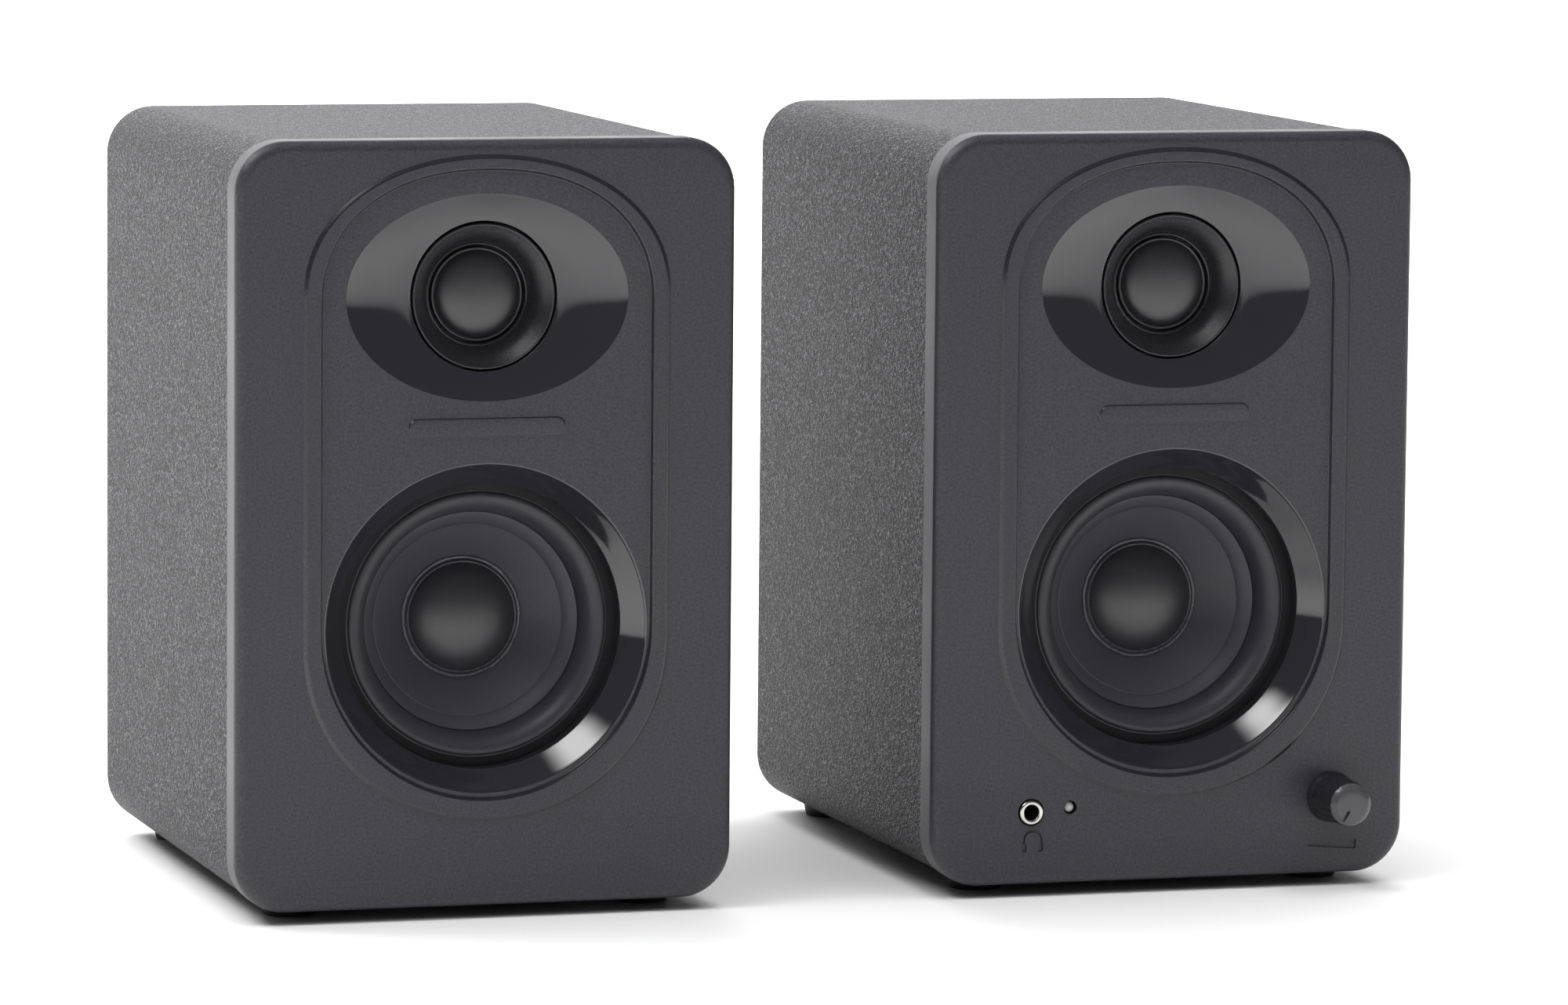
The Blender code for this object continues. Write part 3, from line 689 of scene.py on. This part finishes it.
def tweeter(speaker):
    centre = (0, 0, TWEETER_Z)
    horn = [(20.1, 6.4), (20.05, 5.6), (19.85, 5.2), (19.6, 5.1), (19.35, 5.2), (19.05, 5.6),
            (18.4, 6.15), (17.6, 6.9), (16.8, 7.75), (16.1, 8.75), (15.5, 9.95), (15, 11.3),
            (14.6, 12.4), (14.4, 12.7), (14.2, 12.6), (13.95, 12.55), (13.7, 12.7), (13.5, 13.1),
            (13.4, 13.8), (13.4, 14.7), (16.5, 14.7), (20, 13.3), (30, 13.3), (30, 11.3),
            (20.1, 11.3)]
    speaker.put(turned(speaker.named("tweeter_horn"), horn, ("satin_black_plastic",)), centre,
                slot="satin_black_plastic", nodes=[speaker.named("tweeter_faceplate")])
    front = [(0, 9.4)]
    front += [(11.6 * math.sin(math.radians(a)), 9.4 + 3.9 * (1 - math.cos(math.radians(a))))
              for a in (9, 18, 27, 36, 45, 54, 63, 72, 80)]
    front += [(11.7, 13.35), (11.85, 13.5), (12.0, 13.3), (12.25, 12.95), (12.5, 12.85),
              (12.75, 12.95), (12.95, 13.3), (13.05, 13.8), (13.05, 14.2), (10, 14.3), (10, 18.2),
              (9.4, 18.2), (9.4, 14.3), (8, 12.2), (4.3, 10.6), (0, 10.2)]
    speaker.put(turned(speaker.named("dome"), front, ("coated_silk",), angle=60), centre,
                body=speaker.named("tweeter_diaphragm"), slot="coated_silk",
                nodes=[speaker.named("tweeter_dome")])


def woofer(speaker):
    centre = (0, 0, WOOFER_Z)
    body = speaker.named("woofer_diaphragm")
    roll = [(33.45 + 3.0 * math.cos(math.radians(a)),
             11.6 + 6.2 * (a / 180) - 3.5 * math.sin(math.radians(a)))
            for a in range(4, 180, 11)]
    front = [(43, 11.4), (39.2, 11.4), (37.2, 11.45), (36.8, 11.6), *roll, (30.35, 18.1)]
    back = [(30.45, 18.7), (31.3, 18.2), (32.4, 15), (33.7, 12.9), (35.2, 12.2),
            (36.3, 12.5), (43, 12.2)]
    # painted shade: the outer land's rows take the second look, near-black for the land in the
    # gloss ring's shadow
    rim = (0, 2)
    surround = turned(speaker.named("rubber_surround"), front + back,
                      ("surround_rubber", "painted_shade_black"), marks=[rim], steps=112, angle=50)
    speaker.put(surround, centre, body=body, slot="black_rubber",
                nodes=[speaker.named("woofer_surround")], give=(12, 17.8))
    waves = [(13.3 + part * 0.38, 34.05 + part * 0.04 - 0.22 * math.sin(part * math.pi / 4))
             for part in range(37)]
    waves = [*waves, (28.5, 35.5)]
    spider = [*waves, *[(radius, depth + 0.3) for radius, depth in reversed(waves)]]
    speaker.put(turned(speaker.named("cloth_spider"), spider, ("spider_cloth",)), centre,
                body=body, slot="spider_cloth", nodes=[speaker.named("spider")],
                give=(35.5, 34.1))

    def slope(radius):
        share = (CONE_EDGE[0] - radius) / (CONE_EDGE[0] - CONE_NECK[0])
        return CONE_EDGE[1] + (CONE_NECK[1] - CONE_EDGE[1]) * share

    cone = [(30.2, 17.95), (29.9, 18.05)]
    cone += [(radius, slope(radius) + sink) for radius, sink in (
        (28, 0), (26.95, 0), (26.7, 0.28), (26.45, 0.02), (24, -0.12), (20, -0.14),
        (17.5, -0.05), (CONE_NECK[0], 0))]
    cone += [(CONE_NECK[0], 33.3), (CONE_EDGE[0], 19.2), (30.2, 18.6)]
    speaker.put(turned(speaker.named("pressed_cone"), cone, ("coated_cone",), steps=112), centre,
                body=body, slot="coated_cone", nodes=[speaker.named("woofer_cone")])
    crown = [(0, 22.2)]
    crown += [(14.75 * math.sin(math.radians(a)) / math.sin(math.radians(64)),
               22.2 + 5.75 * (1 - math.cos(math.radians(a))) / (1 - math.cos(math.radians(64))))
              for a in range(6, 65, 6)]
    cap = crown + [(14.75, 27.95), (15.0, 28.35), (15.15, 28.2), (15.35, 28.15), (15.55, 28.4),
                   (16.1, 28.85), (16.3, 28.75), (16.6, 28.7), (16.85, 28.9), (16.95, 29.2),
                   (16.5, 29.5), (15.2, 29.4), (14.6, 28.7), (11, 26.4), (5.7, 24.2), (0, 23.2)]
    bead = (len(crown) + 6, len(crown) + 9)

    def uneven(row, turn):
        if row not in range(bead[0], bead[1] + 1):
            return 0
        return 0.07 * math.sin(7 * turn + 1) + 0.06 * math.sin(17 * turn) \
            + 0.04 * math.sin(31 * turn + row)

    piece = turned(speaker.named("coated_cap"), cap, ("dust_cap_coat", "glue"), steps=144,
                   marks=[bead, (len(crown) + 2, len(crown) + 3)], angle=50, shift=uneven)
    speaker.put(piece, centre, body=body, slot="coated_cone", nodes=[speaker.named("dust_cap")])


def feet(speaker):
    """Turned rubber feet, hollow below where a screw would sit."""
    profile = [(0, 1.4), (3.2, 1.4), (3.4, 1.2), (3.4, 0.3), (3.7, 0), (6.8, 0), (7.15, 0.1),
               (7.35, 0.4), (7.85, 3.1), (7.85, 3.55), (7.7, 3.7), (0, 3.7)]
    for row in ("front", "rear"):
        for place in ("left", "right"):
            node = speaker.named(f"foot_{row}_{place}")
            low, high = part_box(node)
            middle = (low + high) / 2
            at = (Vector((middle.x, middle.y, low.z)) - speaker.origin) / MM
            piece = turned(speaker.named(f"rubber_foot_{row}_{place}"), profile,
                           ("black_rubber",), "z", 48)
            speaker.put(piece, at, slot="black_rubber", nodes=[node])


def knob(speaker):
    """The volume knob: wide flutes, a flared skirt, a satin chamfer and a pointer notch."""
    reach = 17.4
    profile = [(0, -reach), (2.6, -reach), (4.4, -reach), (4.65, -reach + 0.1),
               (5.85, -reach + 1.15), (6.1, -reach + 1.45), (6.2, -reach + 2.2), (6.45, -11),
               (6.6, -5.5), (6.7, -3.2), (6.9, -2.2), (7.15, -1.5), (7.2, -0.6), (7.0, -0.4),
               (3.3, -0.4), (3.3, -11), (0, -11)]

    def flutes(row, turn):
        depth = {5: 0.12, 6: 0.3, 7: 0.34, 8: 0.34, 9: 0.3, 10: 0.12}.get(row, 0)
        return -depth * abs(math.sin(9 * turn)) ** 0.6

    piece = turned("volume_knob", profile, ("satin_black_plastic", "knob_face"), steps=216,
                   marks=[(0, 4)], angle=28, shift=flutes)
    cutter = Shape()
    start = cutter.ring(rounded(0.45, 2.6, 0.2, (0, 4.6), 3), -reach - 1)
    cutter.fill(start)
    cutter.fill(cutter.tube(start, (rounded(0.45, 2.6, 0.2, (0, 4.6), 3), -reach + 0.7)))
    notch = cutter.done("pointer_cutter", ("black_plastic",))
    turn = math.radians(-150)
    notch.data.transform(Matrix.Rotation(turn, 4, "Y"))
    for obj in (piece, notch):
        bpy.context.scene.collection.objects.link(obj)
    carve = piece.modifiers.new("Pointer", "BOOLEAN")
    carve.object = notch
    carve.solver = "EXACT"
    bpy.context.view_layer.update()
    carved = bpy.data.meshes.new_from_object(piece.evaluated_get(
        bpy.context.evaluated_depsgraph_get()))
    piece.modifiers.clear()
    piece.data = carved
    bpy.data.objects.remove(notch)
    bpy.context.scene.collection.objects.unlink(piece)
    speaker.put(piece, (KNOB[0], 0, KNOB[1]), body="volume_control", slot="satin_black_plastic",
                nodes=["active_volume_knob"])


def front_controls(speaker):
    knob(speaker)
    jack = [(3.4, 0.2), (3.4, -0.2), (3.25, -0.42), (3.0, -0.5), (2.6, -0.5), (2.3, -0.42),
            (2.1, -0.15), (2.0, 0.5), (1.8, 1.2), (1.8, 21), (5.5, 21), (5.5, 11.5), (3.4, 11.5)]
    speaker.put(turned("headphone_socket", jack, ("nickel", "black_plastic"), steps=64,
                       marks=[(7, 10)]),
                (JACK[0], 0, JACK[1]), slot="nickel", nodes=["active_headphone_jack"])
    lens = [(0, 0.7), (0.5, 0.75), (1.0, 0.95), (1.35, 1.3), (1.55, 1.8), (1.6, 2.4), (1.6, 11.5),
            (2.6, 11.5), (2.6, 12.7), (0, 12.7)]
    speaker.put(turned("power_light", lens, ("led_lens",), steps=48), (LED[0], 0, LED[1]),
                slot="led_lens", nodes=["active_power_led"])


# ---------------------------------------------------------------- back

def port(speaker):
    profile = [(17.5, 115), (17.5, REAR), (22.5, REAR), (22.5, 176.4), (22.3, 176.95),
               (21.8, 177.25), (21.2, 177.3), (19.6, 177.3), (18.6, 177.0), (17.6, 176.2),
               (16.7, 174.9), (15.9, 173), (15.3, 170.6), (15, 168), (15, 115)]
    speaker.put(turned(speaker.named("port"), profile, ("black_plastic",), steps=80),
                (0, 0, PORT_Z), slot="black_plastic", nodes=[speaker.named("port_tube")])


def terminals(speaker, centre):
    """The spring-clip block: a rounded bezel with two lever pockets and two wire holes."""
    x, z = centre
    shape = Shape()

    def bezel(inset):
        return rounded(21 - inset, 16 - inset, 2 - inset, centre, 5)

    body = rounded(18, 13, 0.4, centre, 5)
    behind = shape.ring(body, 161.8)
    shape.fill(behind)
    start = shape.tube(behind, (body, REAR))
    start = shape.tube(start, (bezel(0), REAR))
    face = shape.tube(start, *edge(bezel, BEZEL, 0.6, 3, inwards=-1))
    holes = []
    for offset in LEVERS.values():
        pocket = rounded(5.5, 7.7, 0.8, (x + offset, z + 3.6), 3)
        rim = shape.ring(pocket, BEZEL)
        holes.append(rim)
        shape.fill(shape.tube(rim, (pocket, 167.5)))
        wire = (x + offset, z - 9.8)
        rim = shape.ring(circle(2.1, wire, 24), BEZEL)
        holes.append(rim)
        shape.fill(shape.tube(rim, (circle(1.6, wire, 24), 176.1), (circle(1.6, wire, 24), 168)))
    shape.fill(face, *holes)
    speaker.put(shape.done(speaker.named("clip_block"), ("black_plastic",)),
                slot="black_plastic", nodes=[speaker.named("terminal_block")], weighted=True)
    for colour, offset in LEVERS.items():
        speaker.put(lever(speaker.named(f"clip_{colour}"), f"{colour}_plastic"),
                    (x + offset, 176.3, z + 7.7),
                    body=speaker.named(f"terminal_lever_{colour}"), slot=f"{colour}_plastic",
                    nodes=[speaker.named(f"lever_{colour}")])


def lever(name, look):
    """A press lever with ridges for the thumb, in the frame of its pivot."""
    side = [(-2.5, -10.5), (-2.5, 2.2), (-2.2, 2.5), (1.6, 2.5), (2.2, 2.2), (2.4, 1.4)]
    for ridge in range(5):
        top = -1.2 - 1.7 * ridge
        side += [(1.9, top + 0.55), (2.5, top + 0.25), (2.5, top - 0.35), (1.9, top - 0.65)]
    side += [(2.2, -9.9), (1.8, -10.5)]
    middle = (0, -4)
    shape = Shape("x")

    def narrowed(share):
        return [(middle[0] + (a - middle[0]) * share, middle[1] + (b - middle[1]) * share)
                for a, b in side]

    start = shape.ring(narrowed(0.93), -5)
    shape.fill(start)
    end = shape.tube(start, (narrowed(0.98), -4.85), (side, -4.5), (side, 4.5),
                     (narrowed(0.98), 4.85), (narrowed(0.93), 5))
    shape.fill(end)
    return shape.done(name, (look,))


def recess_screws(places, radius, depth):
    """Pan-head screws with a cross recess, as one mesh."""
    shape = Shape()
    arm, wide = 0.62 * radius, 0.2 * radius
    cross = [(wide, -arm), (wide, -wide), (arm, -wide), (arm, wide), (wide, wide), (wide, arm),
             (-wide, arm), (-wide, wide), (-arm, wide), (-arm, -wide), (-wide, -wide),
             (-wide, -arm)]
    for x, z in places:
        base = shape.ring(circle(radius, (x, z), 32), depth)
        shape.fill(base)
        crown = shape.tube(base, (circle(radius, (x, z), 32), depth + 0.2 * radius),
                           (circle(0.93 * radius, (x, z), 32), depth + 0.4 * radius),
                           (circle(0.8 * radius, (x, z), 32), depth + 0.52 * radius))
        recess = [(x + a, z + b) for a, b in cross]
        rim = shape.ring(recess, depth + 0.52 * radius)
        shape.fill(crown, rim)
        shape.fill(shape.tube(rim, ([(x + 0.6 * a, z + 0.6 * b) for a, b in cross],
                                    depth + 0.12 * radius)))
    return shape.done("plate_screws", ("plated_steel",))


def amplifier_panel(speaker):
    """The rear plate with its screws, input jacks, switch and mains inlet."""
    shape = Shape()
    front, back = 172.7, 174.7

    def outline(inset):
        return rounded(55 - inset, 70 - inset, 1.8 - inset, PLATE, 5)

    inner = shape.ring(outline(0), front)
    face = shape.tube(inner, (outline(0), back - 0.3), (outline(0.3), back))
    holes, ends = [], []
    cuts = [rounded(18.3, 13.3, 0.5, ACTIVE_TERMINAL, 3), rounded(8.3, 10.8, 0.5, SWITCH, 3),
            rounded(13.3, 9.3, 0.5, INLET, 3)]
    cuts += [circle(5.3, place, 40) for place in INPUTS.values()]
    for cut in cuts:
        rim = shape.ring(cut, back)
        holes.append(rim)
        ends.append(shape.tube(rim, (cut, front)))
    shape.fill(face, *holes)
    shape.fill(inner, *ends)
    speaker.put(shape.done("rear_plate", ("anodised_aluminium",)), slot="anodised_aluminium",
                nodes=["active_amp_plate"], weighted=True)
    screws = [(x, z) for x in (-50.5, 50.5) for z in (18.5, 62, 106, 149.5)]
    speaker.put(recess_screws([*screws, (0, 18.5), (0, 149.5)], 2.6, back - 0.1),
                slot="plated_steel")
    for colour, place in INPUTS.items():
        input_jack(speaker, colour, place)
    switch(speaker)
    inlet(speaker)


def input_jack(speaker, colour, place):
    """A phono jack: plated barrel over a coloured insulator."""
    at = (place[0], 0, place[1])
    insulator = [(0, 160), (5, 160), (5, REAR), (6.3, REAR), (6.5, 175.5), (6.5, 176.2),
                 (6.3, 176.5), (4.3, 176.5), (3.35, 176.5), (3.35, 181.9), (3.1, 182.2),
                 (1.9, 182.2), (1.7, 182.0), (1.7, 173), (0, 173)]
    look = f"{colour}_plastic"
    speaker.put(turned(f"insulator_{colour}", insulator, (look,), steps=64), at, slot=look,
                nodes=[f"active_input_jack_{colour}"])
    barrel = [(3.45, 176.6), (5.6, 176.6), (5.6, 177.3), (5.4, 177.5), (4.5, 177.6), (4.2, 177.8),
              (4.2, 182.6), (4.05, 182.9), (3.8, 183), (3.6, 182.9), (3.45, 182.6)]
    speaker.put(turned(f"barrel_{colour}", barrel, ("nickel",), steps=64), at, slot="nickel")


def switch(speaker):
    """The rocker's square body, and the rocker, which rests with its upper end out."""
    shape = Shape()

    def bezel(inset):
        return rounded(9.5 - inset, 12 - inset, 1.2 - inset, SWITCH, 4)

    body = rounded(8, 10.5, 0.5, SWITCH, 4)
    pocket = rounded(6.5, 9.2, 0.6, SWITCH, 4)
    behind = shape.ring(body, SOCKET_BACK)
    shape.fill(behind)
    start = shape.tube(behind, (body, REAR), (bezel(0), REAR))
    face = shape.tube(start, *edge(bezel, BEZEL, 0.5, 3, inwards=-1))
    rim = shape.ring(pocket, BEZEL)
    shape.fill(face, rim)
    shape.fill(shape.tube(rim, (pocket, 167.4)))
    speaker.put(shape.done("switch_frame", ("black_plastic",)), slot="black_plastic",
                nodes=["active_switch_body"], weighted=True)
    side = [(-3, -8), (-3, 8), (2.5, 8), (2.95, 7.7), (2.95, 6.6), (2.3, 3.4), (2.0, 0.4),
            (2.0, -0.4), (2.3, -3.4), (2.95, -6.6), (2.95, -7.7), (2.5, -8)]
    rocker = Shape("x")
    inner = [(0.9 * a, 0.975 * b) for a, b in side]
    start = rocker.ring(inner, -6)
    rocker.fill(start)
    rocker.fill(rocker.tube(start, (side, -5.6), (side, 5.6), (inner, 6)))
    piece = rocker.done("rocker", ("black_plastic",))
    piece.data.transform(Matrix.Rotation(math.radians(-8), 4, "X"))
    speaker.put(piece, (SWITCH[0], 176.0, SWITCH[1]), body="power_rocker", slot="black_plastic",
                nodes=["active_power_rocker"])


def inlet(speaker):
    """The mains inlet: an oval socket with two pins standing in it."""
    shape = Shape()

    def bezel(inset):
        return rounded(15 - inset, 11 - inset, 1.5 - inset, INLET, 5)

    def socket(grow):
        return rounded(8.5 + grow, 5 + grow, 4.9 + grow, INLET, 10)

    body = rounded(13, 9, 0.6, INLET, 5)
    behind = shape.ring(body, SOCKET_BACK)
    shape.fill(behind)
    start = shape.tube(behind, (body, REAR), (bezel(0), REAR))
    face = shape.tube(start, *edge(bezel, BEZEL, 0.6, 3, inwards=-1))
    rim = shape.ring(socket(0.4), BEZEL)
    shape.fill(face, rim)
    floor = shape.tube(rim, (socket(0.1), 176.6), (socket(0), 176.2), (socket(0), 164.3))
    pins = []
    for offset in (-4.3, 4.3):
        place = (INLET[0] + offset, INLET[1])
        foot = shape.ring(circle(1.2, place, 24), 164.3)
        pins.append(foot)
        tip = shape.tube(foot, (circle(1.2, place, 24), 172.6), (circle(1.0, place, 24), 173.1),
                         (circle(0.55, place, 24), 173.3), look=1)
        shape.fill(tip, look=1)
    shape.fill(floor, *pins)
    speaker.put(shape.done("mains_socket", ("black_plastic", "nickel")), slot="black_plastic",
                nodes=["active_mains_inlet"], weighted=True)


# ---------------------------------------------------------------- carried-over nodes

INSIDE = {
    "tweeter_motor": "painted_steel", "woofer_basket": "painted_steel",
    "voice_coil": "copper_winding", "top_plate": "plated_steel",
    "magnet": "ferrite", "yoke": "plated_steel", "crossover_capacitor": "capacitor_sleeve",
    "amp_board": "circuit_board", "control_board": "circuit_board",
    "heatsink": "bare_aluminium", "transformer": "painted_steel", "volume_pot": "plated_steel",
    "pot_shaft": "nickel",
}


def dress_inside():
    for name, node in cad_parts.items():
        for tail, look in INSIDE.items():
            if name.endswith(tail):
                node.data.materials.clear()
                node.data.materials.append(LOOKS[look])


# ---------------------------------------------------------------- stage

def pale_floor():
    """A pale sheet that lies flat under the speakers and sweeps up behind them."""
    line = [(-FLOOR_HALF, 0), (FLOOR_FLAT, 0)]
    line += [(FLOOR_FLAT + FLOOR_BEND * math.sin(math.radians(a)),
              FLOOR_BEND - FLOOR_BEND * math.cos(math.radians(a))) for a in range(6, 91, 6)]
    line.append((FLOOR_FLAT + FLOOR_BEND, FLOOR_TOP))
    shape = bmesh.new()
    rows = [[shape.verts.new((x, y, z)) for x in (-FLOOR_HALF, FLOOR_HALF)] for y, z in line]
    for low, high in zip(rows, rows[1:]):
        shape.faces.new((low[0], low[1], high[1], high[0]))
    mesh = bpy.data.meshes.new("floor")
    shape.to_mesh(mesh)
    shape.free()
    mesh.shade_smooth()
    floor = bpy.data.objects.new("floor", mesh)
    bpy.context.scene.collection.objects.link(floor)
    look = Nodes("floor")
    look.colour(look.noise(60, 2.0).outputs["Fac"], (0.84, 0.84, 0.84), (0.86, 0.86, 0.86))
    mesh.materials.append(look.set(Roughness=0.7, Specular_IOR_Level=0.2))


def softbox(name, place, aim, size, power, seen=True):
    """An area light. One that is seen in glossy surfaces fades towards its edges."""
    light = bpy.data.lights.new(name, "AREA")
    light.shape = "RECTANGLE"
    light.size, light.size_y = size
    light.energy = power
    if seen:
        light.use_nodes = True
        tree = light.node_tree
        across = tree.nodes.new("ShaderNodeNewGeometry").outputs["Parametric"]
        centred = tree.nodes.new("ShaderNodeVectorMath")
        centred.operation = "DISTANCE"
        centred.inputs[1].default_value = (0.5, 0.5, 0)
        tree.links.new(across, centred.inputs[0])
        fade = tree.nodes.new("ShaderNodeMapRange")
        fade.interpolation_type = "SMOOTHSTEP"
        for socket, value in (("From Min", 0.1), ("From Max", 0.5), ("To Min", 1.9),
                              ("To Max", 0.0)):
            fade.inputs[socket].default_value = value
        tree.links.new(centred.outputs["Value"], fade.inputs["Value"])
        tree.links.new(fade.outputs["Result"], tree.nodes["Emission"].inputs["Strength"])
    obj = bpy.data.objects.new(name, light)
    obj.location = place
    obj.rotation_euler = (Vector(aim) - Vector(place)).to_track_quat("-Z", "Y").to_euler()
    obj.visible_glossy = seen
    obj.visible_camera = False
    bpy.context.scene.collection.objects.link(obj)


def lights():
    softbox("key", (-2.7, -0.8, 4.2), (0, 0, 0.1), (3.8, 3.2), 150)
    softbox("crown", (-1.9, 0.85, 2.4), (0, 0, 0.1), (1.3, 1.3), 45)
    softbox("overhead", (0.2, 1.4, 3.6), (0.2, 1.4, 0), (5, 7), 285, seen=False)
    softbox("front", (-0.3, -2.6, 3.0), (0, -1.0, 0), (4, 2), 30, seen=False)
    softbox("sweep", (0, 3.2, 3.6), (0, 5.4, 0.9), (8, 2), 300, seen=False)
    softbox("back", (0.6, 3.4, 1.8), (0, 0, 0.1), (2, 2), 25, seen=False)
    world = bpy.data.worlds.new("studio")
    world.use_nodes = True
    shade = world.node_tree.nodes["Background"]
    shade.inputs["Color"].default_value = (1, 1, 1, 1)
    shade.inputs["Strength"].default_value = 0.085
    bpy.context.scene.world = world


def camera():
    data = bpy.data.cameras.new("camera")
    data.sensor_width = SENSOR
    data.lens = LENS
    obj = bpy.data.objects.new("camera", data)
    yaw, pitch, roll = (math.radians(a) for a in (CAMERA_YAW, CAMERA_PITCH, CAMERA_ROLL))
    forward = Vector((math.sin(yaw) * math.cos(pitch), math.cos(yaw) * math.cos(pitch),
                      -math.sin(pitch)))
    right = Vector((math.cos(yaw), -math.sin(yaw), 0))
    up = right.cross(forward)
    tilted_right = right * math.cos(roll) + up * math.sin(roll)
    tilted_up = up * math.cos(roll) - right * math.sin(roll)
    turn = Matrix((tilted_right, tilted_up, -forward)).transposed()
    obj.matrix_world = Matrix.Translation(CAMERA_AT) @ turn.to_4x4()
    bpy.context.scene.collection.objects.link(obj)
    bpy.context.scene.camera = obj


def main():
    for side in ("passive", "active"):
        speaker = Speaker(side)
        for build in (baffle, cabinet, tweeter, woofer, feet, port):
            build(speaker)
        if side == "passive":
            terminals(speaker, PASSIVE_TERMINAL)
        else:
            terminals(speaker, ACTIVE_TERMINAL)
            front_controls(speaker)
            amplifier_panel(speaker)
    dress_inside()
    pale_floor()
    lights()
    camera()
    bpy.context.scene.view_settings.view_transform = "Standard"


main()
